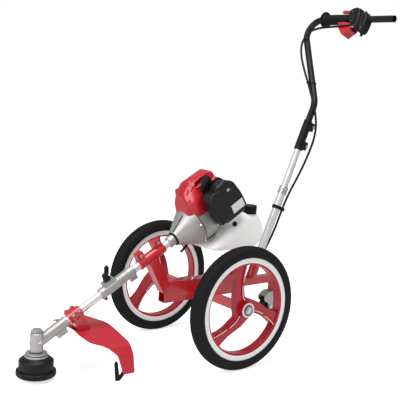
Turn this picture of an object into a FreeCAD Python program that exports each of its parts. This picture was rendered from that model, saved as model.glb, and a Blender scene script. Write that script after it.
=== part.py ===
import FreeCAD, Part
import Sketcher
import math
import os

os.makedirs("parts", exist_ok=True)
doc = FreeCAD.newDocument("WheeledTrimmer")
sheet = doc.addObject("Spreadsheet::Sheet", "Sizes")
Vector = FreeCAD.Vector
Rotation = FreeCAD.Rotation
Placement = FreeCAD.Placement

# Millimetres and degrees. X points forward to the trimmer head, Y to the machine's left, Z up.
# The origin is on the ground under the middle of the machine's box.


class Length:
    """A number that remembers the sheet expression it comes from."""

    def __init__(self, number, words):
        self.number = float(number)
        self.words = words

    def __float__(self):
        return self.number

    def __add__(self, other):
        return join(self, "+", other)

    def __radd__(self, other):
        return join(other, "+", self)

    def __sub__(self, other):
        return join(self, "-", other)

    def __rsub__(self, other):
        return join(other, "-", self)

    def __mul__(self, other):
        return join(self, "*", other)

    def __rmul__(self, other):
        return join(other, "*", self)

    def __truediv__(self, other):
        return join(self, "/", other)

    def __neg__(self):
        return join(0, "-", self)


def join(first, sign, second):
    """Combine two lengths, as numbers and as words for the sheet."""
    one, two = float(first), float(second)
    words = [x.words if isinstance(x, Length) else repr(float(x)) for x in (first, second)]
    number = {"+": one + two, "-": one - two, "*": one * two}.get(sign)
    if sign == "/":
        number = one / two
    return Length(number, "(%s %s %s)" % (words[0], sign, words[1]))


def size(alias, number):
    """Write one driving size to the next row of the sheet."""
    size.row += 1
    sheet.set("A%d" % size.row, alias)
    sheet.set("B%d" % size.row, str(number))
    sheet.setAlias("B%d" % size.row, alias)
    return Length(number, "Sizes." + alias)


size.row = 0


def bind(thing, name, length):
    """Set a property and, for a length from the sheet, its expression."""
    if isinstance(length, Length):
        setattr(thing, name, length.number)
        thing.setExpression(name, length.words)
    else:
        setattr(thing, name, length)


# Overall layout
wheel_diameter = size("wheel_diameter", 400)
tyre_width = size("tyre_width", 45)
track = size("track", 467)
head_reach = size("head_reach", 594)
shaft_angle = size("shaft_angle", 30)
shaft_height = size("shaft_height", 108.5)
pole_lean = size("pole_lean", 22.3)
pole_foot = size("pole_foot", 143.8)
bar_rise = size("bar_rise", 1240)
ring_radius = size("ring_radius", 60)
grip_flange_radius = size("grip_flange_radius", 30)
flat_gap = size("flat_gap", 0.3)
running_gap = size("running_gap", 0.05)
slip_gap = size("slip_gap", 0.1)
sheet.recompute()

wheel_radius = wheel_diameter / 2
lean = math.radians(float(pole_lean))
rise = math.radians(float(shaft_angle))
front_reach = float(head_reach) + float(ring_radius)
rear_reach = float(pole_foot) + float(bar_rise) * math.sin(lean) + float(grip_flange_radius)
axle_x = (rear_reach - front_reach) / 2

ABOUT_X = Vector(1, 0, 0)
ABOUT_Y = Vector(0, 1, 0)
ABOUT_Z = Vector(0, 0, 1)
SHAFT_TURN = Rotation(ABOUT_Y, float(shaft_angle) - 90)
POLE_TURN = Rotation(ABOUT_Y, -float(pole_lean))
head_centre = Vector(axle_x + float(head_reach), 0, float(shaft_height))
pole_base = Vector(axle_x - float(pole_foot), 0, 0)


def world(x=0, y=0, z=0, turn=None):
    """A place measured from the ground under the axle."""
    return Placement(Vector(axle_x + float(x), float(y), float(z)), turn or Rotation())


def on_shaft(along, up=0, side=0, turn=None):
    """A place on the inclined drive line: local Z runs up the shaft, local X square to it."""
    start = Placement(head_centre, SHAFT_TURN)
    return start.multiply(Placement(Vector(float(up), float(side), float(along)), turn or Rotation()))


def on_pole(along, fore=0, side=0, turn=None):
    """A place on the leaning handle pole: local Z runs up the pole, local X forward."""
    start = Placement(pole_base, POLE_TURN)
    return start.multiply(Placement(Vector(float(fore), float(side), float(along)), turn or Rotation()))


def at(up=0, side=0, along=0, turn=None):
    """A place inside a piece's own frame."""
    return Placement(Vector(float(up), float(side), float(along)), turn or Rotation())


TO_Y = Rotation(ABOUT_X, -90)
TO_MINUS_Y = Rotation(ABOUT_X, 90)
TO_X = Rotation(ABOUT_Y, 90)
TO_MINUS_X = Rotation(ABOUT_Y, -90)
TURN_OVER = Rotation(ABOUT_X, 180)

nodes = []


def node(name, thing, place=None):
    """Name a finished sub-part, put it in its place and keep it for export."""
    thing.Label = name
    if place is not None:
        thing.Placement = place
    nodes.append(thing)
    return thing


def cylinder(radius, height, place=None):
    thing = doc.addObject("Part::Cylinder", "Cylinder")
    bind(thing, "Radius", radius)
    bind(thing, "Height", height)
    thing.Placement = place or Placement()
    return thing


def cone(bottom, top, height, place=None):
    thing = doc.addObject("Part::Cone", "Cone")
    bind(thing, "Radius1", bottom)
    bind(thing, "Radius2", top)
    bind(thing, "Height", height)
    thing.Placement = place or Placement()
    return thing


def box(long, wide, high, place=None):
    """A block centred on local X and Y that stands on local Z = 0."""
    thing = doc.addObject("Part::Box", "Block")
    bind(thing, "Length", long)
    bind(thing, "Width", wide)
    bind(thing, "Height", high)
    corner = Placement(Vector(-float(long) / 2, -float(wide) / 2, 0), Rotation())
    thing.Placement = (place or Placement()).multiply(corner)
    return thing


def torus(ring, tube, place=None):
    thing = doc.addObject("Part::Torus", "Ring")
    bind(thing, "Radius1", ring)
    bind(thing, "Radius2", tube)
    thing.Placement = place or Placement()
    return thing


def nut_blank(across, height, place=None):
    """A hexagon of the given width across flats."""
    thing = doc.addObject("Part::Prism", "Hexagon")
    thing.Polygon = 6
    bind(thing, "Circumradius", across / 2 * 1.1547)
    bind(thing, "Height", height)
    thing.Placement = place or Placement()
    return thing


def cut(base, *tools):
    for tool in tools:
        thing = doc.addObject("Part::Cut", "Cut")
        thing.Base = base
        thing.Tool = tool
        base = thing
    return base


def fuse(*pieces):
    thing = doc.addObject("Part::MultiFuse", "Fusion")
    thing.Shapes = list(pieces)
    thing.Refine = True
    return thing


def common(first, second):
    thing = doc.addObject("Part::Common", "Common")
    thing.Base = first
    thing.Tool = second
    return thing


def group(*pieces):
    thing = doc.addObject("Part::Compound", "Group")
    thing.Links = list(pieces)
    return thing


def tube(outer, inner, height, place=None):
    """A plain round tube from its two radii."""
    ring = cut(cylinder(outer, height), cylinder(inner, height))
    ring.Placement = place or Placement()
    return ring


def new_sketch(body, role, name="Sketch"):
    sketch = body.newObject("Sketcher::SketchObject", name)
    for feature in body.Origin.OriginFeatures:
        if feature.Role == role:
            sketch.AttachmentSupport = [(feature, "")]
    sketch.MapMode = "FlatFace"
    return sketch


def fix(sketch, kind, one, end, length):
    """Hold a point of the sketch at a distance from the origin."""
    index = sketch.addConstraint(Sketcher.Constraint(kind, -1, 1, one, end, float(length)))
    if isinstance(length, Length):
        sketch.setExpression("Constraints[%d]" % index, length.words)


def outline(sketch, corners, closed=True):
    """Draw a polygon through the corners; a third value rounds that corner."""
    points = [Vector(float(c[0]), float(c[1]), 0) for c in corners]
    count = len(points)
    starts, ends, arcs = {}, {}, []
    for i, corner in enumerate(corners):
        starts[i] = ends[i] = points[i]
        if len(corner) == 3:
            back = (points[i - 1] - points[i]).normalize()
            ahead = (points[(i + 1) % count] - points[i]).normalize()
            half = back.getAngle(ahead) / 2
            ends[i] = points[i] + back * (float(corner[2]) / math.tan(half))
            starts[i] = points[i] + ahead * (float(corner[2]) / math.tan(half))
            middle = (back + ahead).normalize()
            arcs.append((i, points[i] + middle * (float(corner[2]) / math.sin(half))))
    lines = count if closed else count - 1
    first = sketch.GeometryCount
    for i in range(lines):
        sketch.addGeometry(Part.LineSegment(starts[i], ends[(i + 1) % count]), False)
    for i, centre in arcs:
        into, out = (first + (i - 1) % count), first + i
        one, two = ends[i] - centre, starts[i] - centre
        turns_left = one.cross(two).z > 0
        begin, finish = (one, two) if turns_left else (two, one)
        circle = Part.Circle(centre, ABOUT_Z, float(corners[i][2]))
        a, b = math.atan2(begin.y, begin.x), math.atan2(finish.y, finish.x)
        arc = sketch.addGeometry(Part.ArcOfCircle(circle, a, b), False)
        tip = sketch.addGeometry(Part.Point(points[i]), True)
        near, far = (1, 2) if turns_left else (2, 1)
        sketch.addConstraint(Sketcher.Constraint("Tangent", into, 2, arc, near))
        sketch.addConstraint(Sketcher.Constraint("Tangent", arc, far, out, 1))
        sketch.addConstraint(Sketcher.Constraint("PointOnObject", tip, 1, into))
        sketch.addConstraint(Sketcher.Constraint("PointOnObject", tip, 1, out))
        index = sketch.addConstraint(Sketcher.Constraint("Radius", arc, float(corners[i][2])))
        if isinstance(corners[i][2], Length):
            sketch.setExpression("Constraints[%d]" % index, corners[i][2].words)
        fix(sketch, "DistanceX", tip, 1, corners[i][0])
        fix(sketch, "DistanceY", tip, 1, corners[i][1])
    for i, corner in enumerate(corners):
        if len(corner) == 3:
            continue
        if closed or 0 < i < count - 1:
            before = first + (i - 1) % count
            sketch.addConstraint(Sketcher.Constraint("Coincident", before, 2, first + i, 1))
        line, end = (first + i, 1) if i < lines else (first + i - 1, 2)
        fix(sketch, "DistanceX", line, end, corner[0])
        fix(sketch, "DistanceY", line, end, corner[1])


def ring_line(sketch, x, y, radius):
    """Draw a circle held by its centre and radius."""
    circle = sketch.addGeometry(Part.Circle(Vector(float(x), float(y), 0), ABOUT_Z, float(radius)), False)
    fix(sketch, "DistanceX", circle, 3, x)
    fix(sketch, "DistanceY", circle, 3, y)
    index = sketch.addConstraint(Sketcher.Constraint("Radius", circle, float(radius)))
    if isinstance(radius, Length):
        sketch.setExpression("Constraints[%d]" % index, radius.words)


def body(name):
    return doc.addObject("PartDesign::Body", name)


def turned(name, corners):
    """A body of revolution about local Z from (radius, height) corners."""
    solid = body(name)
    sketch = new_sketch(solid, "XZ_Plane")
    outline(sketch, corners)
    spin = solid.newObject("PartDesign::Revolution", "Revolution")
    spin.Profile = sketch
    spin.ReferenceAxis = (sketch, ["V_Axis"])
    spin.Angle = 360
    solid.Tip = spin
    return solid


def pad(solid, sketch, length, both=False, reverse=False):
    feature = solid.newObject("PartDesign::Pad", "Pad")
    feature.Profile = sketch
    bind(feature, "Length", length)
    feature.Midplane = both
    feature.Reversed = reverse
    solid.Tip = feature
    return feature


def pocket_through(solid, sketch):
    feature = solid.newObject("PartDesign::Pocket", "Pocket")
    feature.Profile = sketch
    feature.Type = "ThroughAll"
    feature.Midplane = True
    solid.Tip = feature
    return feature


def slab(name, role, corners, thickness, both=True, holes=()):
    """A body padded from a rounded polygon, with round holes (x, y, radius)."""
    solid = body(name)
    sketch = new_sketch(solid, role)
    outline(sketch, corners)
    for x, y, radius in holes:
        ring_line(sketch, x, y, radius)
    pad(solid, sketch, thickness, both)
    return solid


# Wheels
tyre_bead = size("tyre_bead", 156)
tyre_wall = size("tyre_wall", 5)
rim_outer = size("rim_outer", 167)
rim_inner = size("rim_inner", 143)
rim_width = size("rim_width", 36)
rim_flange = size("rim_flange", 3)
web_thickness = size("web_thickness", 22)
ridge_height = size("ridge_height", 3)
hub_radius = size("hub_radius", 25)
hub_length = size("hub_length", 56)
bearing_outer = size("bearing_outer", 35)
bearing_width = size("bearing_width", 11)
axle_diameter = size("axle_diameter", 15)
bearing_shoulder = size("bearing_shoulder", 3)


def tyre_solid():
    """A hollow tyre, open at its beads, with a flat crown."""
    half, wall = tyre_width / 2, tyre_wall
    bead = rim_width / 2 - rim_flange - flat_gap
    inner = bead - wall
    outside = [
        (tyre_bead, -bead), (rim_outer, -bead), (rim_outer + 11, -half, 10), (wheel_radius, 8 - half, 6),
        (wheel_radius, half - 8, 6), (rim_outer + 11, half, 10), (rim_outer, bead), (tyre_bead, bead)]
    inside = [
        (tyre_bead, inner), (rim_outer, inner), (rim_outer + 11, half - wall, 8), (wheel_radius - wall, half - 11, 4),
        (wheel_radius - wall, 11 - half, 4), (rim_outer + 11, wall - half, 8), (rim_outer, -inner),
        (tyre_bead, -inner)]
    return turned("Tyre", outside + inside)


def rim_solid():
    """A web disc cut into three swirled spokes, then the hub and the flanged rim."""
    solid = body("Rim")
    web = new_sketch(solid, "XZ_Plane", "Web")
    half = web_thickness / 2
    outline(web, [(hub_radius - 5, -half), (rim_inner + 2, -half), (rim_inner + 2, half), (hub_radius - 5, half)])
    disc = solid.newObject("PartDesign::Revolution", "WebDisc")
    disc.Profile = web
    disc.ReferenceAxis = (web, ["V_Axis"])
    solid.Tip = disc
    window = new_sketch(solid, "XY_Plane", "Window")
    beyond = rim_inner + 60
    outline(window, [
        (-24, 34, 7), (40, 42, 60), (95, 38, 60), (rim_inner + 2, 46), (beyond, 60), (beyond, beyond),
        (-beyond * 0.5, beyond), (-74, 128), (-56, 76, 60)])
    opening = pocket_through(solid, window)
    windows = solid.newObject("PartDesign::PolarPattern", "Windows")
    windows.Originals = [opening]
    windows.Axis = (window, ["N_Axis"])
    windows.Angle = 360
    windows.Occurrences = 3
    solid.Tip = windows
    crest = new_sketch(solid, "XY_Plane", "Crest")
    outline(crest, [
        (hub_radius, 1), (45, 11, 60), (95, 13, 60), (rim_inner + 1, 2), (rim_inner + 1, 9), (95, 20, 60),
        (45, 18, 60), (hub_radius, 8)])
    ridge = pad(solid, crest, web_thickness + ridge_height * 2, True)
    ridges = solid.newObject("PartDesign::PolarPattern", "Ridges")
    ridges.Originals = [ridge]
    ridges.Axis = (crest, ["N_Axis"])
    ridges.Angle = 360
    ridges.Occurrences = 3
    solid.Tip = ridges
    rim = new_sketch(solid, "XZ_Plane", "RimSection")
    edge, seat = rim_width / 2, rim_width / 2 - rim_flange
    well = tyre_bead - flat_gap
    outline(rim, [
        (rim_inner, 4 - edge), (rim_inner + 7, -edge), (rim_outer, -edge), (rim_outer, -seat), (well, -seat),
        (well, seat), (rim_outer, seat), (rim_outer, edge), (rim_inner + 7, edge), (rim_inner, edge - 4)])
    hoop = solid.newObject("PartDesign::Revolution", "Hoop")
    hoop.Profile = rim
    hoop.ReferenceAxis = (rim, ["V_Axis"])
    solid.Tip = hoop
    core = new_sketch(solid, "XZ_Plane", "HubSection")
    bore = bearing_outer / 2 + flat_gap / 10
    end, step = hub_length / 2, hub_length / 2 - bearing_width
    stop = bearing_outer / 2 - bearing_shoulder
    outline(core, [
        (bore, -end), (hub_radius, -end), (hub_radius, end), (bore, end), (bore, step), (stop, step),
        (stop, -step), (bore, -step)])
    hub = solid.newObject("PartDesign::Revolution", "Hub")
    hub.Profile = core
    hub.ReferenceAxis = (core, ["V_Axis"])
    solid.Tip = hub
    return solid


def bearing_pair():
    """One ball bearing at each end of the hub."""
    inner = axle_diameter / 2 + running_gap
    pair = []
    for height in (hub_length / 2 - bearing_width, -hub_length / 2):
        ring = tube(bearing_outer / 2, inner, bearing_width)
        groove = torus((bearing_outer + axle_diameter) / 4, bearing_width / 4)
        pair.append(cut(ring, groove))
        pair[-1].Placement = at(along=height)
    return group(*pair)


half_track = track / 2
left_turn = TO_Y.multiply(Rotation(ABOUT_Z, -90))
right_turn = Rotation(ABOUT_Z, 180).multiply(TO_Y).multiply(Rotation(ABOUT_Z, -112))
for side, sign, turn in (("left", 1, left_turn), ("right", -1, right_turn)):
    place = world(0, sign * half_track, wheel_radius, turn)
    node("tyre_" + side, tyre_solid(), place)
    node("rim_" + side, rim_solid(), place)
    node("wheel_bearings_" + side, bearing_pair(), place)


# Axle and frame
axle_tube_side = size("axle_tube_side", 25)
axle_tube_length = size("axle_tube_length", 400)
axle_plug = size("axle_plug", 10)
frame_wall = size("frame_wall", 2.5)
beam_width = size("beam_width", 34)
beam_height = size("beam_height", 34)
beam_bottom = size("beam_bottom", 212.6)
beam_rear = size("beam_rear", 165)
lower_box_front = size("lower_box_front", 150)
lower_box_rear = size("lower_box_rear", 165)
lower_box_height = size("lower_box_height", 34)
post_side = size("post_side", 35)
post_station = size("post_station", 450)
sleeve_radius = size("sleeve_radius", 18)
sleeve_start = size("sleeve_start", 404)
sleeve_end = size("sleeve_end", 509)
tube_radius = size("tube_radius", 13)
tube_wall = size("tube_wall", 2.5)
rear_beam_width = size("rear_beam_width", 28)
rear_beam_height = size("rear_beam_height", 26)
rear_beam_top = size("rear_beam_top", 222)
rear_beam_end = size("rear_beam_end", 352)
joint_plate = size("joint_plate", 4)
axle_reach = size("axle_reach", 34.5)
clip_groove = size("clip_groove", 1.4)

axle_end = half_track + axle_reach
axle_height = wheel_radius
tube_face = axle_tube_length / 2
hub_inner = half_track - hub_length / 2
hub_outer = half_track + hub_length / 2
washer_thickness = size("washer_thickness", 1.5)
groove_place = hub_outer + flat_gap + washer_thickness + flat_gap


def across(length, x, z):
    """A place for a piece that runs the width of the machine, centred on Y."""
    return world(x, -float(length) / 2, z, TO_Y)


shell = box(axle_tube_side, axle_tube_side, axle_tube_length)
hollow_side = axle_tube_side - frame_wall * 2
hollow = box(hollow_side, hollow_side, axle_tube_length - axle_plug * 2, at(along=axle_plug))
bore = cylinder(axle_diameter / 2 + running_gap, axle_tube_length + 2, at(along=-1))
axle_tube = cut(shell, hollow, bore)
axle_tube.Placement = across(axle_tube_length, 0, axle_height)

rod = cylinder(axle_diameter / 2, axle_end * 2, at(along=-axle_end))
for start in (groove_place, -groove_place - clip_groove):
    rod = cut(rod, tube(axle_diameter, axle_diameter / 2 - 0.9, clip_groove, at(along=start)))
node("axle_rod", rod, world(0, 0, axle_height, TO_Y))

axle_bore = axle_diameter / 2 + running_gap
spacer_length = hub_inner - tube_face - flat_gap * 2
retainers = []
for sign in (1, -1):
    spots = [
        (tube(11, axle_bore, spacer_length), tube_face + flat_gap, spacer_length),
        (tube(12, axle_bore, washer_thickness), hub_outer + flat_gap, washer_thickness),
        (tube(10.5, axle_diameter / 2 - 0.8, clip_groove - 0.2), groove_place + 0.1, clip_groove - 0.2)]
    for ring, start, thickness in spots:
        ring.Placement = at(along=start if sign > 0 else -start - thickness)
        retainers.append(ring)
retainer_group = group(*retainers)
retainer_group.Placement = world(0, 0, axle_height, TO_Y)

# The lower box hangs under the beam and is open in front; the axle tube is welded across it.
box_length = lower_box_front + lower_box_rear
box_middle = (lower_box_front - lower_box_rear) / 2
box_top = beam_bottom - flat_gap
box_bottom = box_top - lower_box_height
outer = box(box_length, beam_width, lower_box_height, at(up=box_middle, along=box_bottom))
inner = box(
    box_length, beam_width - frame_wall * 2, lower_box_height - frame_wall * 2,
    at(up=box_middle + frame_wall, along=box_bottom + frame_wall))
notch = box(axle_tube_side, beam_width + 2, axle_tube_side, at(along=axle_height - axle_tube_side / 2))
lower_box = cut(outer, inner, notch)
lower_box.Placement = world()
node("axle_carrier", fuse(lower_box, axle_tube))

frame_bolt = size("frame_bolt", 4)
pinch_bolt = size("pinch_bolt", 3)
bolt_slack = size("bolt_slack", 0.3)
bolt_spread = size("bolt_spread", 24)
knob_place = size("knob_place", 141)

# The beam's front end is cut along the front face of the post.
beam_top = beam_bottom + beam_height


def post_face(height, offset):
    """The machine X of a line square to the shaft, at a height and a distance along the shaft."""
    slope = math.tan(rise)
    start = float(head_reach) - (float(post_station) + offset) / math.cos(rise)
    return start + (float(height) - float(shaft_height)) * slope


front_low = post_face(beam_bottom, -float(post_side) / 2)
front_high = post_face(beam_top, -float(post_side) / 2)
beam = slab("Beam", "XZ_Plane", [
    (-beam_rear, beam_bottom), (front_low, beam_bottom), (front_high, beam_top), (-beam_rear, beam_top)],
    beam_width)
beam_hollow = box(
    beam_rear + 100, beam_width - frame_wall * 2, beam_height - frame_wall * 2,
    at(up=(100 - beam_rear) / 2 - 10, along=beam_bottom + frame_wall))
holes = [cylinder(frame_bolt + bolt_slack, 30, at(up=x, along=beam_top - 15)) for x in (
    -bolt_spread, bolt_spread, -knob_place)]
beam = cut(beam, beam_hollow, *holes)
beam.Placement = world()

# The post stands square to the shaft, coped to the sleeve above and to the beam below.
post_height = size("post_height", 160)
post = cut(
    box(post_side, post_side, post_height),
    box(post_side - frame_wall * 2, post_side - frame_wall * 2, post_height + 2, at(along=-1)))
post.Placement = on_shaft(post_station, -sleeve_radius / 2, 0, TO_MINUS_X)
cope = cylinder(sleeve_radius + flat_gap, post_side * 3, on_shaft(post_station - post_side * 1.5))
below = box(300, 60, 200, world(150, 0, beam_top - 200))
node("main_frame", fuse(beam, cut(post, cope, below)))

# Split sleeve with two pinch lugs on top
lug_width = size("lug_width", 24)
lug_top = size("lug_top", 40)
lug_length = size("lug_length", 26)
slot_width = size("slot_width", 4)
sleeve_length = sleeve_end - sleeve_start
lug_stations = (lug_length / 2 + 2, sleeve_length - lug_length / 2 - 4)
sleeve = [cylinder(sleeve_radius, sleeve_length)]
for station in lug_stations:
    place = at(up=lug_top / 2, along=station - lug_length / 2)
    sleeve.append(box(lug_top, lug_width, lug_length, place))
cuts = [
    cylinder(tube_radius + slip_gap, sleeve_length + 2, at(along=-1)),
    box(lug_top + 2, slot_width, sleeve_length + 2, at(up=lug_top / 2 + 1, along=-1))]
for station in lug_stations:
    cuts.append(cylinder(pinch_bolt + bolt_slack, 60, at(up=lug_top - 9, side=-30, along=station, turn=TO_Y)))
node("shaft_sleeve", cut(fuse(*sleeve), *cuts), on_shaft(sleeve_start))


def bolt(radius, length, head_height, place):
    """A bolt with a hexagon head below local Z = 0 and its shank above."""
    head = nut_blank(radius * 3.6, head_height, at(along=-head_height))
    thing = fuse(head, cylinder(radius, length))
    thing.Placement = place
    return thing


pinch_bolts = []
for station in lug_stations:
    start = on_shaft(sleeve_start + station, lug_top - 9, lug_width / 2 + flat_gap, TO_MINUS_Y)
    pinch_bolts.append(bolt(pinch_bolt, lug_width + 8, 4, start))
    start = on_shaft(sleeve_start + station, lug_top - 9, -lug_width / 2 - flat_gap - 4, TO_Y)
    nut = cut(nut_blank(pinch_bolt * 3.6, 4), cylinder(pinch_bolt + running_gap, 6, at(along=-1)))
    nut.Placement = start
    pinch_bolts.append(nut)

# Rear joint plate, rear beam and pole socket
plate_centre = beam_rear + flat_gap + joint_plate / 2
plate_low = size("plate_low", 176)
plate_high = size("plate_high", 254)
plate_width = size("plate_width", 50)
plate = box(joint_plate, plate_width, plate_high - plate_low, world(-plate_centre, 0, plate_low))
plate_holes = []
for height in (plate_low + 11, plate_high - 9):
    for side in (-21, 21):
        plate_holes.append(cylinder(pinch_bolt + bolt_slack, 40, world(-plate_centre - 20, side, height, TO_X)))
joint = cut(plate, *plate_holes)

rear_start = beam_rear + flat_gap + joint_plate
rear_length = rear_beam_end - rear_start
rear_middle = -(rear_beam_end + rear_start) / 2
rear_bottom = rear_beam_top - rear_beam_height
rear = cut(
    box(rear_length, rear_beam_width, rear_beam_height),
    box(rear_length + 2, rear_beam_width - frame_wall * 2, rear_beam_height - frame_wall * 2,
        at(along=frame_wall)))
rear.Placement = world(rear_middle, 0, rear_bottom)

pole_radius = size("pole_radius", 14)
pole_wall = size("pole_wall", 2)
socket_radius = size("socket_radius", 18)
socket_top = size("socket_top", 300)
pole_bottom = size("pole_bottom", 247)
pole_top = size("pole_top", 568)
socket = cylinder(socket_radius, socket_top - 220, on_pole(220))
socket_bore = cylinder(pole_radius + slip_gap, socket_top, on_pole(pole_bottom - flat_gap))
floor = box(200, 100, 200, world(-235, 0, rear_beam_top - 200))
cross_hole = cylinder(pinch_bolt + bolt_slack, 80, on_pole(socket_top - 14, 0, -40, TO_Y))
socket = cut(socket, socket_bore, floor, cross_hole)

lower_pole = tube(pole_radius, pole_radius - pole_wall, pole_top - pole_bottom)
lower_pole.Placement = on_pole(pole_bottom)
pole_hole = cylinder(pinch_bolt + bolt_slack, 80, on_pole(socket_top - 14, 0, -40, TO_Y))
node("lower_pole", cut(lower_pole, pole_hole))

# Bolts through the beams and the pole socket
bolts = []
for x in (-bolt_spread, bolt_spread):
    bolts.append(bolt(frame_bolt, 12, 5, world(x, 0, beam_top + flat_gap, TURN_OVER)))
bolts.append(bolt(pinch_bolt, socket_radius * 2 + 6, 4, on_pole(
    socket_top - 14, 0, socket_radius + flat_gap, TO_MINUS_Y)))
for height in (plate_low + 11, plate_high - 9):
    for side in (-21, 21):
        spot = world(-plate_centre - joint_plate / 2 - flat_gap, side, height, TO_X)
        bolts.append(bolt(pinch_bolt, joint_plate + 6, 3, spot))

knob_radius = size("knob_radius", 13)
knob_height = size("knob_height", 14)
knob = fuse(
    cylinder(knob_radius, knob_height, at(along=beam_top + flat_gap)),
    cylinder(frame_bolt, 12, at(along=beam_top - 11)))
flutes = [cylinder(2.5, knob_height + 2, at(
    up=float(knob_radius) * math.cos(turn), side=float(knob_radius) * math.sin(turn),
    along=beam_top - 1)) for turn in [math.radians(45 * i) for i in range(8)]]
node("beam_knob", cut(knob, *flutes), world(-knob_place, 0, 0))


# Caster
caster_x = size("caster_x", 343)
caster_trail = size("caster_trail", 18)
caster_radius = size("caster_radius", 37)
caster_height = size("caster_height", 106)
caster_width = size("caster_width", 26)
caster_axle = size("caster_axle", 4)
fork_gap = size("fork_gap", 30)
fork_wall = size("fork_wall", 3)
fork_top = size("fork_top", 162)
stem_radius = size("stem_radius", 6)
mount_plate = size("mount_plate", 5)

plate_top = rear_bottom
mount = cut(
    fuse(
        box(56, 42, mount_plate, at(along=plate_top - mount_plate)),
        cylinder(17, plate_top - mount_plate - fork_top - 1, at(along=fork_top + 1))),
    cylinder(stem_radius + running_gap, 80, at(along=fork_top - 20)))
mount.Placement = world(-caster_x, 0, 0)
node("rear_beam", fuse(joint, rear, socket, mount))

stem_length = plate_top - fork_top - flat_gap
hood = slab("Fork", "XZ_Plane", [
    (-20, fork_top), (-24, 128, 10), (6, 96, 6), (caster_trail - 9, caster_height - 9, 4),
    (caster_trail + 9, caster_height - 9, 8), (caster_trail + 12, caster_height + 14, 14), (48, 128, 12),
    (52, 146, 14), (26, fork_top, 12)], fork_gap + fork_wall * 2)
hood_hollow = slab("ForkHollow", "XZ_Plane", [
    (-17, fork_top - fork_wall), (-40, 120), (-40, 60), (80, 60), (80, 128), (48, 146, 14),
    (26, fork_top - fork_wall, 12)], fork_gap)
pin_hole = cylinder(caster_axle + running_gap, 60, at(up=caster_trail, side=-30, along=caster_height, turn=TO_Y))
stem = cylinder(stem_radius, stem_length, at(along=fork_top - 0.5))
node("caster_fork", fuse(cut(hood, hood_hollow, pin_hole), stem), world(-caster_x, 0, 0))

wheel = turned("CasterWheel", [
    (caster_axle + running_gap, -caster_width / 2), (10, -caster_width / 2), (12, -7), (24, -7),
    (27, -caster_width / 2 + 1), (caster_radius - 2, -caster_width / 2 + 2), (caster_radius, -6, 3),
    (caster_radius, 6, 3), (caster_radius - 2, caster_width / 2 - 2), (27, caster_width / 2 - 1), (24, 7),
    (12, 7), (10, caster_width / 2), (caster_axle + running_gap, caster_width / 2)])
node("caster_wheel", wheel, world(caster_trail - caster_x, 0, caster_height, TO_Y))

pin_length = fork_gap + fork_wall * 2 + 6
pin = fuse(
    cylinder(caster_axle, pin_length),
    cylinder(caster_axle * 1.7, 2.7, at(along=0)),
    cylinder(caster_axle * 1.7, 2.7, at(along=pin_length - 2.7)))
node("caster_axle", pin, world(caster_trail - caster_x, -pin_length / 2, caster_height, TO_Y))


# Handle pole, collar, clip and clamp
upper_radius = size("upper_radius", 11.9)
upper_wall = size("upper_wall", 2)
upper_start = size("upper_start", 440)
butt_station = size("butt_station", 784)
collar_radius = size("collar_radius", 17)
collar_length = size("collar_length", 28)
collar_seat = size("collar_seat", 12)
bar_radius = size("bar_radius", 12)
bar_wall = size("bar_wall", 2)
clamp_radius = size("clamp_radius", 15.5)
clamp_start = size("clamp_start", 727)
clamp_end = size("clamp_end", 840)

upper = tube(upper_radius, upper_radius - upper_wall, butt_station - flat_gap - upper_start)
node("upper_pole", upper, on_pole(upper_start))

collar = cut(
    turned("Collar", [
        (upper_radius + slip_gap, 0), (collar_radius, 0), (collar_radius, 8), (collar_radius - 1.5, 10),
        (collar_radius - 1.5, 18), (collar_radius, 20), (collar_radius - 2, collar_length),
        (upper_radius + slip_gap, collar_length)]),
    cylinder(pole_radius + slip_gap, collar_seat + flat_gap + 1, at(along=-1)))
collar.Placement = on_pole(pole_top - collar_seat)
clip_radius = size("clip_radius", 17)
clip_length = size("clip_length", 12)
clip = cut(
    fuse(cylinder(clip_radius, clip_length), box(16, 13, clip_length, at(up=-18, side=10))),
    cylinder(pole_radius + slip_gap, clip_length + 2, at(along=-1)),
    cylinder(4.4, clip_length + 2, at(up=-19, side=10, along=-1)))
clip.Placement = on_pole(499)
node("pole_collar", group(collar, clip))

bar_clamp = cut(
    fuse(
        cylinder(clamp_radius, clamp_end - clamp_start),
        box(22, 18, 30, at(up=-19, along=8)),
        box(22, 18, 30, at(up=-19, along=clamp_end - clamp_start - 32))),
    cylinder(bar_radius + slip_gap, clamp_end - clamp_start + 2, at(along=-1)),
    box(30, 3, clamp_end - clamp_start + 2, at(up=-20, along=-1)),
    cylinder(pinch_bolt + bolt_slack, 40, at(up=-23, side=-20, along=22, turn=TO_Y)),
    cylinder(pinch_bolt + bolt_slack, 40, at(up=-23, side=-20, along=97, turn=TO_Y)))
node("bar_clamp", bar_clamp, on_pole(clamp_start))
clamp_bolts = [bolt(pinch_bolt, 24, 5, on_pole(clamp_start + station, -23, 9 + flat_gap, TO_MINUS_Y))
               for station in (22, 97)]

# The handlebar rises in the plane of the pole, bends left or right and ends in the straight grip bar.
bar_left = size("bar_left", 225)
bar_right = size("bar_right", 216)
bend_start = size("bend_start", 908)
lower_bend = size("lower_bend", 80)
upper_bend = size("upper_bend", 54)
handlebar = body("Handlebar")
path = new_sketch(handlebar, "YZ_Plane", "Path")
outline(path, [
    (0, butt_station), (0, bend_start, lower_bend), (-bar_right, bar_rise, upper_bend), (bar_left, bar_rise)],
    False)
section = new_sketch(handlebar, "XY_Plane", "Section")
section.AttachmentOffset = Placement(Vector(0, 0, float(butt_station)), Rotation())
section.setExpression("AttachmentOffset.Base.z", butt_station.words)
ring_line(section, 0, 0, bar_radius)
ring_line(section, 0, 0, bar_radius - bar_wall)
doc.recompute()
pipe = handlebar.newObject("PartDesign::AdditivePipe", "Pipe")
pipe.Profile = section
pipe.Spine = (path, ["Edge%d" % (i + 1) for i in range(5)])
handlebar.Tip = pipe
node("handlebar", handlebar, on_pole(0))


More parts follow.
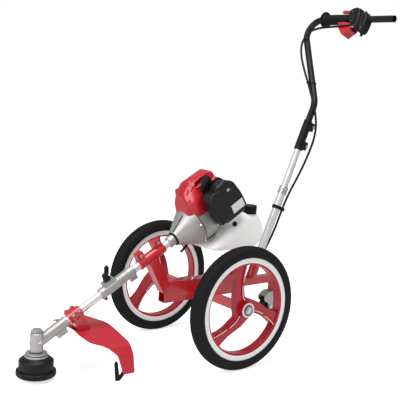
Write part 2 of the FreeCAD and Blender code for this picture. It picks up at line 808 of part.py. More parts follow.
def on_bar(along, fore=0, down=0, turn=None):
    """A place on the grip bar: local Z runs along it to the left, local Y down the pole."""
    start = on_pole(bar_rise, 0, 0, TO_Y)
    return start.multiply(Placement(Vector(float(fore), float(down), float(along)), turn or Rotation()))


grip_radius = size("grip_radius", 19)
grip_start = size("grip_start", 92)
grip_end = size("grip_end", 20)
housing_start = size("housing_start", 21)
housing_end = size("housing_end", 106)
grip_bore = bar_radius + slip_gap

# One rubber moulding: a hand guard at the inner end, then the ribbed grip
grip = [
    (grip_bore, -24), (16, -24), (16, -16, 3), (grip_flange_radius, -11, 4), (grip_flange_radius, -7),
    (22, -5, 6), (grip_radius, 0)]
grip_length = grip_start + grip_end
ribs = size("grip_ribs", 14)
for rib in range(int(ribs.number)):
    foot = grip_length * ((rib + 0.5) / ribs.number)
    grip += [(grip_radius, foot - 1.5), (grip_radius - 1, foot - 1), (grip_radius - 1, foot + 1),
             (grip_radius, foot + 1.5)]
grip += [(grip_radius, grip_length), (grip_bore, grip_length)]
node("grip", turned("Grip", grip), on_bar(-grip_start))

# Throttle housing with its trigger, lock lever and stop switch
housing_length = housing_end - housing_start
slot = size("lever_slot", 13)
lever_width = size("lever_width", 12)
trigger_pivot = size("trigger_pivot", 34)
lock_pivot = size("lock_pivot", 30)
pivot_pin = size("pivot_pin", 2.5)
shell = slab("ThrottleBody", "XY_Plane", [
    (-21, -18, 8), (-12, -25, 8), (12, -25, 8), (21, -18, 8), (23, 20, 12), (17, 54, 8), (-17, 54, 8),
    (-23, 20, 12)], housing_length, False)
housing = cut(
    shell, cylinder(grip_bore, housing_length + 2, at(along=-1)),
    box(slot, 60, 36, at(side=44, along=-4)), box(slot, 14, 36, at(side=-26, along=-4)),
    cylinder(pivot_pin + running_gap, 60, at(up=-30, side=34, along=trigger_pivot - housing_start, turn=TO_X)),
    cylinder(2 + running_gap, 22, at(up=-11, side=-22.3, along=lock_pivot - housing_start, turn=TO_X)))
node("throttle_housing", housing, on_bar(housing_start))

trigger = slab("Trigger", "YZ_Plane", [
    (26, trigger_pivot + 6), (26, 24), (30, 10), (42, -38, 4), (51, -40, 4), (52, -30, 10), (46, 0, 40),
    (52, 26, 10), (42, trigger_pivot + 10, 8)], lever_width)
trigger = cut(trigger, cylinder(pivot_pin + running_gap, 60, at(up=-30, side=34, along=trigger_pivot, turn=TO_X)))
node("trigger", trigger, on_bar(0))

lock = slab("LockLever", "YZ_Plane", [
    (-19.8, lock_pivot + 3), (-19.8, 27), (-24, 22), (-26, 4), (-26, -24), (-29, -26, 1), (-35, -16, 10),
    (-34, 8, 10), (-30, lock_pivot + 3, 3)], lever_width)
lock = fuse(lock, cylinder(2, 20, at(up=-10, side=-22.3, along=lock_pivot, turn=TO_X)))
node("lock_lever", lock, on_bar(0))

switch_stroke = size("switch_stroke", 6)
switch = fuse(box(8, 12, 4), box(4, 5, 8))
node("stop_switch", switch, on_bar(84, 0, -25 - flat_gap, TO_MINUS_Y))
trigger_pin = cylinder(pivot_pin, 40, on_bar(trigger_pivot, -20, 34, TO_X))
node("handle_fasteners", group(trigger_pin, *clamp_bolts))


# Drive line
lower_tube_start = size("lower_tube_start", 60)
lower_tube_end = size("lower_tube_end", 318)
upper_tube_start = size("upper_tube_start", 320)
upper_tube_end = size("upper_tube_end", 562)
coupler_start = size("coupler_start", 244)
coupler_end = size("coupler_end", 380)
coupler_radius = size("coupler_radius", 18)
shaft_radius = size("shaft_radius", 4)
shaft_joint = size("shaft_joint", 322)
drum_start = size("drum_start", 592)
drum_radius = size("drum_radius", 34)
drum_length = size("drum_length", 28)

knob_station = size("knob_station", 43)
pin_station = size("pin_station", 12)
lower_tube = tube(tube_radius, tube_radius - tube_wall, lower_tube_end - lower_tube_start)
pin_place = at(along=coupler_start + pin_station - lower_tube_start, turn=TO_MINUS_X)
pin_hole = cylinder(pinch_bolt + bolt_slack, 20, pin_place)
node("lower_shaft_tube", cut(lower_tube, pin_hole), on_shaft(lower_tube_start))
upper_tube = tube(tube_radius, tube_radius - tube_wall, upper_tube_end - upper_tube_start)
node("upper_shaft_tube", upper_tube, on_shaft(upper_tube_start))

coupler_length = coupler_end - coupler_start
groove_depth = size("groove_depth", 1.5)
profile = [(tube_radius + slip_gap, 0), (coupler_radius - 2, 0), (coupler_radius, 4)]
for station in (62, 72, 82, 92, 102):
    profile += [(coupler_radius, station), (coupler_radius - groove_depth, station + 1.5),
                (coupler_radius - groove_depth, station + 4.5), (coupler_radius, station + 6)]
profile += [(coupler_radius, coupler_length - 4), (coupler_radius - 2, coupler_length),
            (tube_radius + slip_gap, coupler_length)]
coupler = fuse(
    turned("Coupler", profile),
    cut(
        box(14, 26, 40, at(up=20, along=knob_station - 20)),
        cylinder(tube_radius + 2, 80, at(along=-1))),
    cut(
        box(18, 12, 26, at(up=-22, along=coupler_length - 24)),
        cylinder(tube_radius + 2, coupler_length + 2, at(along=-1))))
coupler = cut(
    coupler,
    cylinder(frame_bolt + bolt_slack, 40, at(along=knob_station, turn=TO_X)),
    cylinder(pinch_bolt + running_gap, 40, at(along=pin_station, turn=TO_MINUS_X)))
node("coupler_body", coupler, on_shaft(coupler_start))

wing = slab("CouplerKnob", "XY_Plane", [
    (-27, -5, 4), (-10, -9, 6), (10, -9, 6), (27, -5, 4), (27, 5, 4), (10, 9, 6), (-10, 9, 6), (-27, 5, 4)],
    34, False)
knob = fuse(
    cylinder(11, 16, at(along=27 + flat_gap)),
    cylinder(frame_bolt, 20, at(along=tube_radius + 1)))
wing.Placement = at(along=38)
node("coupler_knob", fuse(knob, wing), on_shaft(coupler_start + knob_station, 0, 0, TO_X))

button = fuse(
    cylinder(pinch_bolt, 8, at(along=tube_radius + 1)),
    cylinder(6, 4, at(along=coupler_radius + 3.3)))
node("coupler_pin", button, on_shaft(coupler_start + pin_station, 0, 0, TO_MINUS_X))

socket_length = size("shaft_socket", 24)
square = size("shaft_square", 5)
pinion_inner = size("pinion_inner", 14)
pinion_outer = size("pinion_outer", 24)
pinion_angle = size("pinion_angle", 24)
gear_angle = size("gear_angle", 35)


def bevel(angle, teeth, bore):
    """A bevel gear whose pitch cone has its point at the local origin."""
    near, far = float(pinion_inner), float(pinion_outer)
    turn = math.radians(float(angle))
    gear = turned("Bevel", [
        (bore, near * math.cos(turn)), (near * math.sin(turn), near * math.cos(turn)),
        (far * math.sin(turn), far * math.cos(turn)), (far * math.sin(turn), far * math.cos(turn) + 2),
        (bore, far * math.cos(turn) + 2)])
    gaps = []
    for tooth in range(teeth):
        lie = Rotation(ABOUT_Z, 360 * tooth / teeth).multiply(Rotation(ABOUT_Y, float(angle)))
        gaps.append(box(1.6, 1.3, far + 4, Placement(Vector(), lie).multiply(at(up=0.2))))
    return cut(gear, *gaps)


lower_shaft = fuse(
    cylinder(shaft_radius, shaft_joint - pinion_inner - 4, at(along=pinion_inner + 4)),
    box(square, square, socket_length - 4, at(along=shaft_joint - 0.5)))
node("lower_drive_shaft", fuse(lower_shaft, bevel(pinion_angle, 12, shaft_radius - 1)), on_shaft(0))
upper_shaft = cut(
    fuse(
        cylinder(7, socket_length + 6, at(along=shaft_joint + flat_gap)),
        cylinder(shaft_radius, drum_start - shaft_joint - 10, at(along=shaft_joint + 10))),
    box(square + slip_gap * 2, square + slip_gap * 2, socket_length, at(along=shaft_joint)))
drum = turned("ClutchDrum", [
    (shaft_radius - 1, -16), (9, -16), (9, 0), (drum_radius, 0), (drum_radius, drum_length),
    (drum_radius - 2, drum_length), (drum_radius - 2, 2), (shaft_radius - 1, 2)])
drum.Placement = at(along=drum_start)
node("upper_drive_shaft", fuse(upper_shaft, drum), on_shaft(0))


# Gearbox and cutting head
case_radius = size("case_radius", 20)
case_bottom = size("case_bottom", 86.6)
case_top = size("case_top", 148)
boss_radius = size("boss_radius", 17)
boss_end = size("boss_end", 110)
flange_radius = size("flange_radius", 35)
flange_bottom = size("flange_bottom", 68.4)
drum_outer = size("drum_outer", 52)
head_wall = size("head_wall", 3)
ring_low = size("ring_low", 12)
ring_high = size("ring_high", 30)
output_radius = size("output_radius", 5)
output_low = size("output_low", 35)
spool_radius = size("spool_radius", 44)
knob_outer = size("bump_radius", 28)
bump_travel = size("bump_travel", 6)

head = world(head_reach, 0, 0)
case = fuse(
    cylinder(case_radius, case_top - case_bottom - 8, at(along=case_bottom)),
    cone(case_radius, case_radius - 8, 8, at(along=case_top - 8)),
    cylinder(boss_radius, boss_end - 8, Placement(Vector(0, 0, float(shaft_height)), SHAFT_TURN).multiply(
        at(along=8))))


def in_case(along, up=0, turn=None):
    """A place on the input shaft, measured in the head's own frame."""
    start = Placement(Vector(0, 0, float(shaft_height)), SHAFT_TURN)
    return start.multiply(Placement(Vector(float(up), 0, float(along)), turn or Rotation()))


case_lug = box(16, 22, 34, in_case(64, -boss_radius - 4))
hollows = [
    cylinder(output_radius + 1, 60, at(along=case_bottom - 1)),
    cylinder(13 + running_gap, 8.3, at(along=case_bottom + 1.5)),
    cylinder(15.5, 26, at(along=shaft_height - 4)),
    cylinder(13 + running_gap, 5.3, at(along=shaft_height + 25)),
    cylinder(12.5, 26, in_case(9)),
    cylinder(13 + running_gap, 8, in_case(35)),
    cylinder(shaft_radius + 1, 90, in_case(20)),
    cylinder(tube_radius + slip_gap, 90, in_case(lower_tube_start - flat_gap)),
    box(2.5, 3, 80, in_case(70, -20))]
gear_case = cut(fuse(case, case_lug), *hollows)

lower_race = tube(13, output_radius + running_gap, 8)
lower_race.Placement = at(along=case_bottom + 1.6)
upper_race = tube(13, output_radius + running_gap, 5)
upper_race.Placement = at(along=shaft_height + 25.1)
input_race = tube(13, shaft_radius + running_gap, 7.7)
input_race.Placement = in_case(35.1)
node("gearbox_housing", group(gear_case, lower_race, upper_race, input_race), head)

output = fuse(
    cylinder(output_radius, case_top - 16 - output_low, at(along=output_low)),
    cylinder(output_radius + 3, 2.4, at(along=case_bottom - 2.7)))
gear = bevel(gear_angle, 17, output_radius - 1)
gear.Placement = at(along=shaft_height)
node("output_shaft", fuse(output, gear), head)

arbor = turned("ArborFlange", [
    (output_radius + running_gap, 0), (flange_radius, 0), (flange_radius, 7), (flange_radius - 7, 7.6),
    (flange_radius - 7, 9), (flange_radius - 2, 9.6), (flange_radius - 2, 13), (14, 15.2),
    (output_radius + running_gap, 15.2)])
node("arbor_flange", arbor, world(head_reach, 0, flange_bottom))

head_top = flange_bottom - flat_gap
housing = turned("HeadHousing", [
    (output_radius + running_gap, head_top - 6), (drum_outer - head_wall, head_top - 13),
    (drum_outer - head_wall, ring_high), (drum_outer - head_wall, ring_low), (ring_radius - 4, ring_low),
    (ring_radius, ring_low + 4), (ring_radius, ring_high - 3), (ring_radius - 3, ring_high),
    (drum_outer, ring_high), (drum_outer, head_top - 9, 4), (40, head_top), (output_radius + running_gap, head_top)])
eyelet = size("eyelet_radius", 4)
eyes = [cylinder(eyelet, ring_radius * 2 + 10, at(up=-ring_radius - 5, along=42, turn=TO_X))]
scallops = [cylinder(5, 30, at(
    up=(float(ring_radius) + 2.5) * math.cos(turn), side=(float(ring_radius) + 2.5) * math.sin(turn),
    along=ring_low - 1)) for turn in [math.radians(30 * i) for i in range(12)]]
node("head_housing", cut(housing, *eyes, *scallops), head)

spool_bore = output_radius + running_gap
spool = turned("LineSpool", [
    (8, 18), (spool_radius, 18), (spool_radius, 20), (20, 21), (20, 38), (spool_radius, 39), (spool_radius, 41),
    (spool_bore, 41), (spool_bore, 29), (8, 28.5)])
node("line_spool", spool, head)
bump = turned("BumpKnob", [
    (0, 0), (14, 0), (24, 4, 8), (knob_outer, 11), (knob_outer, 17), (7.5, 17), (7.5, 28), (0, 28)])
node("bump_knob", bump, head)

# Guard: an arched sheet trimmed to its plan outline
guard_rear = size("guard_rear", 350)
guard_sheet = size("guard_sheet", 3)
guard_top = size("guard_top", 135)
arch = slab("GuardArch", "YZ_Plane", [
    (-168, 112), (-150, 122, 40), (0, guard_top + 3, 200), (128, 112, 40), (151, 84, 30), (163, 28), (160, 28),
    (148, 83, 27), (126, 109, 37), (0, guard_top, 197), (-150, 119, 37), (-168, 109)], 140)
arch.Placement = at(up=420)
plan = slab("GuardPlan", "XY_Plane", [
    (guard_rear, 175), (guard_rear, -170), (400, -176, 30), (458, -168, 14), (462, -120, 60), (474, -30, 60),
    (476, 40, 40), (466, 92, 40), (436, 122, 40), (405, 146, 60), (372, 175)], 300)
sheet_guard = common(arch, plan)
clamp_start_station = size("guard_clamp_start", 118.5)
clamp_length = size("guard_clamp_length", 46)
clamp_outer = size("guard_clamp_radius", 19)
node("guard_shield", sheet_guard, world(0, 0, 0))

guard_bore = cylinder(tube_radius + slip_gap, clamp_length + 2)
bracket_depth = size("bracket_depth", 60)
lift = guard_sheet + flat_gap
under_guard = slab("UnderGuard", "YZ_Plane", [
    (-168, 112.3), (-150, 122.3, 40), (0, guard_top + lift, 200), (128, 112.3, 40), (151, 84.3, 30),
    (163, 28), (-168, 28)], 200)
under_guard.Placement = world(420, 0, 0)
bracket_place = on_shaft(clamp_start_station + 4, -bracket_depth / 2)
bracket = cut(box(bracket_depth, 40, clamp_length - 8, bracket_place), under_guard)
saddle = cut(
    fuse(
        cylinder(clamp_outer, clamp_length),
        box(clamp_outer * 2 - 4, clamp_outer * 2 + 16, clamp_length - 8, at(up=-4, along=4))),
    box(3, 80, clamp_length + 2, at(up=-2, along=-1)))
saddle.Placement = on_shaft(clamp_start_station)
guard_bore.Placement = on_shaft(clamp_start_station - 1)
saddle = cut(fuse(saddle, bracket), guard_bore)
screw_holes = [cylinder(pinch_bolt + bolt_slack, 60, on_shaft(clamp_start_station + along, -30, side, TO_X))
               for side in (23, -23) for along in (12, 34)]
node("guard_clamp", cut(saddle, *screw_holes))
screws = []
for side in (23, -23):
    for along in (12, 34):
        start = on_shaft(clamp_start_station + along, 13 + flat_gap, side, TO_MINUS_X)
        screws.append(bolt(pinch_bolt, 30, 4, start))
node("frame_fasteners", group(retainer_group, *(pinch_bolts + bolts + screws)))

cutter = slab("LineCutter", "XZ_Plane", [
    (352, 34), (352, 50), (384, 46), (402, 28), (404, 66), (409, 72), (416, 66), (417, 13), (402, 12), (378, 32)],
    2.5)
node("line_cutter", cutter, world(0, 164.5, 0, Rotation(ABOUT_X, 12.3)))


# Clutch housing and crankcase
nose_radius = size("nose_radius", 19)
nose_start = size("nose_start", 531)
isolator_start = size("isolator_start", 553.3)
isolator_length = size("isolator_length", 4)
isolator_radius = size("isolator_radius", 24)
cone_start = size("cone_start", 557.6)
seam = size("seam", 638)
seam_radius = size("seam_radius", 68)
engine_wall = size("engine_wall", 3)
fan_end = size("fan_end", 700)
starter_radius = size("starter_radius", 60)
starter_end = size("starter_end", 750)

clutch_housing = turned("ClutchHousing", [
    (tube_radius + slip_gap, nose_start), (nose_radius - 1, nose_start), (nose_radius, nose_start + 3),
    (nose_radius, cone_start), (25, cone_start), (59, 612, 30), (seam_radius, 630), (seam_radius, seam),
    (seam_radius - engine_wall, seam), (seam_radius - engine_wall, 631), (56, 614, 27), (22, cone_start + 5),
    (tube_radius + slip_gap, cone_start + 5)])
node("clutch_housing", clutch_housing, on_shaft(0))
isolator = tube(isolator_radius, nose_radius + running_gap, isolator_length)
node("isolator_ring", isolator, on_shaft(isolator_start))

chamber_radius = size("chamber_radius", 34)
chamber_start = size("chamber_start", 684)
chamber_end = size("chamber_end", 726)
chamber_wall = size("chamber_wall", 5)
crank_radius = size("crank_radius", 6)
cylinder_station = size("cylinder_station", 705)
cylinder_seat = size("cylinder_seat", 36)
piston_bore = size("piston_bore", 18)
tank_top = size("tank_top", 74)

fan_shell = turned("Crankcase", [
    (seam_radius, seam + flat_gap), (seam_radius, fan_end), (chamber_radius, fan_end),
    (chamber_radius, chamber_end), (crank_radius + running_gap, chamber_end),
    (crank_radius + running_gap, chamber_end - chamber_wall),
    (chamber_radius - chamber_wall, chamber_end - chamber_wall),
    (chamber_radius - chamber_wall, chamber_start + chamber_wall),
    (crank_radius + running_gap, chamber_start + chamber_wall), (crank_radius + running_gap, chamber_start),
    (chamber_radius, chamber_start), (chamber_radius, fan_end - engine_wall - 3),
    (seam_radius - engine_wall, fan_end - engine_wall - 3), (seam_radius - engine_wall, seam + flat_gap)])
feet_top = tank_top - flat_gap
crankcase = fuse(
    fan_shell,
    box(14, 56, 42, at(up=cylinder_seat - 7, along=chamber_start)),
    box(feet_top - 60, 20, 30, at(up=-(feet_top + 60) / 2, side=32, along=655)),
    box(feet_top - 60, 20, 30, at(up=-(feet_top + 60) / 2, side=-32, along=655)))
crankcase = cut(
    crankcase,
    cylinder(chamber_radius - chamber_wall, chamber_end - chamber_start - chamber_wall * 2,
             at(along=chamber_start + chamber_wall)),
    cylinder(piston_bore + running_gap, 60, at(along=cylinder_station, turn=TO_X)),
    box(60, 72, 50, at(up=cylinder_seat + 30, along=668)))
node("crankcase", crankcase, on_shaft(0))

fin_radius = size("fin_radius", 31)
fin_step = size("fin_step", 8)
fin_count = size("fin_count", 7)
cylinder_height = size("cylinder_height", 72)
head_thickness = size("cylinder_head", 11)
plug_lean = size("plug_lean", 45)
plug_side = size("plug_side", 17)
plug_shift = size("plug_shift", 17)
plug_sink = size("plug_sink", 16)
barrel = piston_bore + 4
fins = [(piston_bore, 0), (barrel + 4, 0), (barrel + 4, 4), (barrel, 4)]
for fin in range(int(fin_count.number)):
    base = fin_step * fin + 8
    fins += [(barrel, base), (fin_radius, base), (fin_radius, base + 2.5), (barrel, base + 2.5)]
fins += [(barrel, cylinder_height), (0, cylinder_height), (0, cylinder_height - head_thickness),
         (piston_bore, cylinder_height - head_thickness)]
node("cylinder", turned("CylinderJug", fins), on_shaft(cylinder_station, cylinder_seat + flat_gap, 0, TO_X))

piston_length = size("piston_length", 24)
stroke = size("stroke", 28)
piston_low = size("piston_low", 42)
piston = cut(
    cylinder(piston_bore - running_gap, piston_length),
    cylinder(piston_bore - 4, piston_length - 5, at(along=-1)),
    cylinder(4, 60, at(side=-30, along=piston_length / 2 - 2, turn=TO_Y)))
node("piston", piston, on_shaft(cylinder_station, piston_low, 0, TO_X))

web_radius = size("web_radius", 26)
web_space = size("web_space", 10)
crank = fuse(
    cylinder(crank_radius, cylinder_station - web_space / 2 - 640 - 3, at(along=640)),
    cylinder(web_radius, 7, at(along=cylinder_station - web_space / 2 - 7)),
    cylinder(5, web_space + 4, at(up=-stroke / 2, along=cylinder_station - web_space / 2 - 2)),
    cylinder(web_radius, 7, at(along=cylinder_station + web_space / 2)),
    cylinder(crank_radius, 24, at(along=cylinder_station + web_space / 2 + 6)))

flywheel_radius = size("flywheel_radius", 54)
flywheel = turned("Flywheel", [
    (crank_radius + running_gap, 646), (14, 646), (14, 650), (46, 650), (flywheel_radius, 646),
    (flywheel_radius, 668), (46, 668), (46, 660), (14, 660), (14, 672), (crank_radius + running_gap, 672)])
blades = [box(9, 2.5, 9, Placement(Vector(), Rotation(ABOUT_Z, 30 * i)).multiply(at(up=49, along=664)))
          for i in range(12)]
flywheel = fuse(flywheel, *blades)
shoe = cut(
    cylinder(drum_radius - 3.5, 16, at(along=drum_start + 6)),
    cylinder(15, 18, at(along=drum_start + 5)),
    box(100, 6, 20, at(along=drum_start + 5)))
hub_shoe = fuse(cylinder(14.6, 16, at(along=drum_start + 6)), cylinder(crank_radius, 30, at(along=drum_start + 20)))
node("crankshaft", group(crank, flywheel, shoe, hub_shoe), on_shaft(0))

# Starter housing with vents and its pull handle
vent = size("vent_width", 5)
starter = turned("StarterHousing", [
    (starter_radius - engine_wall, fan_end + flat_gap), (starter_radius, fan_end + flat_gap),
    (starter_radius, starter_end - 10), (starter_radius - 10, starter_end), (0, starter_end),
    (0, starter_end - engine_wall), (starter_radius - 12, starter_end - engine_wall),
    (starter_radius - engine_wall, starter_end - 12)])
vents = [box(22, vent, 20, Placement(Vector(), Rotation(ABOUT_Z, 30 * i)).multiply(
    at(up=34, along=starter_end - 10))) for i in range(12)]
saddle_room = cylinder(fin_radius + 6, 60, at(along=cylinder_station, up=20, turn=TO_X))
handle_up = size("handle_up", -20)
handle_side = size("handle_side", -40)
guide = tube(8, 4, 8, at(up=handle_up, side=handle_side, along=starter_end - 4))
node("starter_housing", cut(fuse(starter, guide), saddle_room, *vents), on_shaft(0))

handle = fuse(
    cylinder(7, 34, at(up=handle_up - 17, side=handle_side, along=starter_end + 15, turn=TO_X)),
    cylinder(4.5, 12, at(up=handle_up, side=handle_side, along=starter_end + 4.6)))
node("starter_handle", handle, on_shaft(0))

# Red engine cover: a side profile met by a front profile, then hollowed
cover_half = size("cover_half", 58)


def cover_shape(inset):
    """The cover's envelope, drawn in by the wall for its inside."""
    side = slab("CoverSide", "XZ_Plane", [
        (38 - inset, 618 + inset), (128 - inset, 655 + inset, 30), (148 - inset, 682 + inset, 25),
        (136 - inset, 770 - inset, 14), (60 - inset, 775 - inset, 10), (38 - inset, 775 - inset)],
        cover_half * 2 + 4)
    front = slab("CoverFront", "XY_Plane", [
        (36 - inset, 2 - cover_half + inset), (92, inset - cover_half, 30), (132 - inset, inset - 38, 30),
        (149 - inset, 0, 60), (132 - inset, 38 - inset, 30), (92, cover_half - inset, 30),
        (36 - inset, cover_half - inset - 2)], 200, False)
    front.Placement = at(along=600)
    return common(side, front)


def on_plug(along):
    """A place on the leaning axis of the spark plug."""
    foot = cylinder_seat + cylinder_height - plug_sink
    start = on_shaft(cylinder_station + plug_shift, foot, plug_side, TO_X)
    return start.multiply(at(turn=Rotation(ABOUT_X, -float(plug_lean)))).multiply(at(along=along))


cap_radius = size("cap_radius", 14)
cap_length = size("cap_length", 48)
plug_cap = fuse(
    cone(10, cap_radius, 16),
    cylinder(cap_radius, cap_length - 22, at(along=16)),
    cone(cap_radius, cap_radius - 5, 6, at(along=cap_length - 6)))
plug_cap.Placement = on_plug(0)
plug_floor = cylinder_seat + cylinder_height + flat_gap * 2
below_head = box(120, 120, 60, on_shaft(cylinder_station, plug_floor - 60, 0, TO_X))
node("plug_cap", cut(plug_cap, below_head))

carb_station = size("carb_station", 746)
carb_height = size("carb_height", 68)
carb_inner = size("carb_inner", 34)
filter_inner = size("filter_inner", 66)
filter_outer = size("filter_outer", 110)
filter_wall = size("filter_wall", 2.5)
base_sheet = size("base_sheet", 3)
drum_room = cylinder(seam_radius + flat_gap, fan_end - 560, at(along=560))
rear_room = cylinder(starter_radius + flat_gap, starter_end - 560, at(along=560))
cap_room = cylinder(cap_radius + 3, 120, on_shaft(0).inverse().multiply(on_plug(10)))
carb_room = box(42, 60, 46, at(up=carb_height, side=62, along=carb_station - 23))
muffler_room = box(62, 40, 64, at(up=74, side=-62, along=672))
cable_room = cylinder(8, 30, at(up=carb_height, side=carb_inner + 12, along=carb_station + 14))
cover = cut(
    cover_shape(Length(0, "0")), cover_shape(engine_wall), drum_room, rear_room, cap_room, carb_room, cable_room,
    muffler_room)
node("engine_cover", cover, on_shaft(0))


def filter_shape(inset, thickness):
    return slab("FilterCover", "XZ_Plane", [
        (-18 + inset, 683 + inset, 12), (70, 681 + inset, 200), (124 - inset, 686 + inset, 14),
        (123 - inset, 763 - inset, 14), (94 - inset, 785 - inset, 16), (45, 801 - inset, 30),
        (-14 + inset, 800 - inset, 10)], thickness, False)


# Carburettor with the base plate of the air filter
throat = cylinder(9, 80, at(up=carb_height, side=20, along=carb_station, turn=TO_Y))
base_plate = filter_shape(flat_gap, base_sheet)
base_plate.Placement = at(side=filter_inner - flat_gap)
carburettor = cut(
    fuse(
        box(34, 26, 36, at(up=carb_height, side=carb_inner + 13, along=carb_station - 18)),
        cylinder(13, filter_inner - flat_gap - carb_inner - 24, at(
            up=carb_height, side=carb_inner + 24, along=carb_station, turn=TO_Y)),
        base_plate,
        cylinder(5.5, 11, at(up=carb_height, side=carb_inner + 12, along=carb_station + 17))),
    throat, cylinder(seam_radius + flat_gap, fan_end + flat_gap - 640, at(along=640)))
node("carburettor", carburettor, on_shaft(0))


thickness = filter_outer - filter_inner
filter_outer_shape = filter_shape(Length(0, "0"), thickness)
filter_outer_shape.Placement = at(side=filter_outer)
filter_inner_shape = filter_shape(filter_wall, thickness - filter_wall + 1)
filter_inner_shape.Placement = at(side=filter_outer - filter_wall)
crank_room = cylinder(seam_radius + flat_gap, fan_end + flat_gap - 640, at(along=640))
node("filter_cover", cut(filter_outer_shape, filter_inner_shape, crank_room), on_shaft(0))

choke_station = size("choke_station", 788)
choke_up = size("choke_up", 30)
choke_thickness = size("choke_thickness", 5)
choke_side = filter_inner - base_sheet - flat_gap * 2 - choke_thickness
choke = fuse(
    cylinder(5, choke_thickness, at(up=choke_up, side=choke_side, along=choke_station, turn=TO_Y)),
    box(26, choke_thickness, 8, at(up=choke_up + 13, side=choke_side + choke_thickness / 2, along=choke_station - 4)))
node("choke_lever", choke, on_shaft(0))

# Muffler on the right side of the cylinder
muffler = fuse(
    box(46, 36, 52, at(up=74, side=-52 - 18, along=678)),
    box(24, 22, 30, at(up=74, side=-42, along=690)))
muffler_hole = cylinder(6, 20, at(up=58, side=-70, along=668))
node("muffler", cut(muffler, muffler_hole), on_shaft(0))

# Fuel tank under the engine, with its neck and cap
tank_half = size("tank_half", 85)
tank_wall = size("tank_wall", 2.5)
neck_x = size("neck_x", 152)
neck_side = size("neck_side", 62)
neck_radius = size("neck_radius", 18)
neck_top = size("neck_top", 478)
cap_outer = size("tank_cap_radius", 25)
cap_tall = size("tank_cap_height", 28)


def under_engine(x):
    """The machine Z of the tank's sloping top face at a machine X."""
    cosine, sine = math.cos(rise), math.sin(rise)
    along = (float(head_reach) - float(tank_top) * sine - x) / cosine
    return float(shaft_height) + along * sine - float(tank_top) * cosine


def tank_shape(inset, half):
    return slab("Tank", "XZ_Plane", [
        (5 - inset, 353 + inset, 4), (-20, 345 + inset, 20), (-185, 347 + inset, 20), (-215 + inset, 375, 20),
        (-215 + inset, 430, 20), (-190, 455 - inset, 16), (-118, 455 - inset, 16), (-84, under_engine(-84) - inset, 20),
        (5 - inset, under_engine(5) - inset, 4)], half * 2)


neck = cylinder(neck_radius, neck_top - 440, at(up=-neck_x, side=neck_side, along=440))
neck_bore = cylinder(neck_radius - tank_wall, neck_top - 440 + 2, at(up=-neck_x, side=neck_side, along=441))
tank_inside = tank_shape(tank_wall, tank_half - tank_wall)
tank = cut(fuse(tank_shape(Length(0, "0"), tank_half), neck), tank_inside, neck_bore)
node("fuel_tank", tank, world())

tank_cap = cut(
    cylinder(cap_outer, cap_tall),
    cylinder(neck_radius + running_gap * 4, 13, at(along=-1)),
    *[cylinder(2, cap_tall + 2, at(
        up=(float(cap_outer) + 0.6) * math.cos(turn), side=(float(cap_outer) + 0.6) * math.sin(turn),
        along=-1)) for turn in [math.radians(18 * i) for i in range(20)]])
node("tank_cap", tank_cap, world(-neck_x, neck_side, neck_top - 11.5))

# Throttle cable, held by the handlebar and the pole's clip, then looped round the tank to the carburettor
cable_radius = size("cable_radius", 3.2)


def pole_spot(side, along, fore):
    """A point given across, up and in front of the pole."""
    return on_pole(along, fore, side).Base


cable_points = [
    on_bar(housing_start - flat_gap, 14, 38).Base,
    on_bar(-30, 15, 40).Base,
    on_bar(-95, 17, 41).Base,
    pole_spot(-143, 1186, 19), pole_spot(-164, 1140, 20), pole_spot(-140, 1085, 20), pole_spot(-98, 1030, 19),
    pole_spot(-50, 975, 18), pole_spot(-8, 925, 19), pole_spot(16, 892, 14), pole_spot(26, 858, -2),
    pole_spot(33, 822, -16), pole_spot(40, 770, -20), pole_spot(38, 700, -19), pole_spot(28, 630, -19),
    pole_spot(15, 570, -19), pole_spot(10, 505, -19), pole_spot(10, 440, -20), pole_spot(4, 380, -20),
    world(-292, -6, 305).Base, world(-282, -40, 268).Base, world(-248, -80, 278).Base, world(-212, -106, 318).Base,
    world(-182, -110, 372).Base, world(-155, -108, 430).Base, world(-128, -88, 484).Base,
    world(-110, -52, 528).Base, world(-98, -8, 560).Base, world(-86, 28, 576).Base,
    on_shaft(800, carb_height, 46).Base, on_shaft(774.3, carb_height, 46).Base]


def cord_path(points):
    """Straight runs joined by arcs as large as their two runs allow."""
    edges, start, tightest = [], points[0], 1e9
    for i in range(1, len(points) - 1):
        back, ahead = points[i - 1] - points[i], points[i + 1] - points[i]
        shorter = 0.45 * min(back.Length, ahead.Length)
        back.normalize()
        ahead.normalize()
        half = back.getAngle(ahead) / 2
        radius = shorter * math.tan(half)
        tightest = min(tightest, radius)
        into, out = points[i] + back * shorter, points[i] + ahead * shorter
        middle = (back + ahead).normalize()
        crown = points[i] + middle * (radius / math.sin(half) - radius)
        edges.append(Part.LineSegment(start, into).toShape())
        edges.append(Part.Arc(into, crown, out).toShape())
        start = out
    edges.append(Part.LineSegment(start, points[-1]).toShape())
    print("cord length %.0f mm, least radius %.1f mm" % (sum(e.Length for e in edges), tightest))
    return Part.Wire(edges)


def cord_solid(points, radius):
    """A round cord swept along the path."""
    wire = cord_path(points)
    heading = points[1] - points[0]
    section = Part.Wire(Part.makeCircle(float(radius), points[0], heading))
    return wire.makePipeShell([section], True, False)


cable = doc.addObject("Part::Feature", "Cable")
cable.Shape = cord_solid(cable_points, cable_radius)
cable.Placement = Placement()
node("control_cable", cable)


# Check every object, then write each sub-part
doc.recompute()
failed = []
for thing in doc.Objects:
    if "Invalid" in thing.State or "Error" in thing.State:
        failed.append(thing.Name + " " + thing.Label)
for thing in nodes:
    if thing.Shape.isNull() or not thing.Shape.isValid():
        failed.append("shape of " + thing.Label)
if failed:
    raise RuntimeError("failed: " + ", ".join(failed))
for thing in nodes:
    thing.Shape.exportStep("parts/" + thing.Label + ".step")
    print("%-22s %2d solids %10.0f mm3" % (thing.Label, len(thing.Shape.Solids), thing.Shape.Volume))
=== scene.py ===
import math

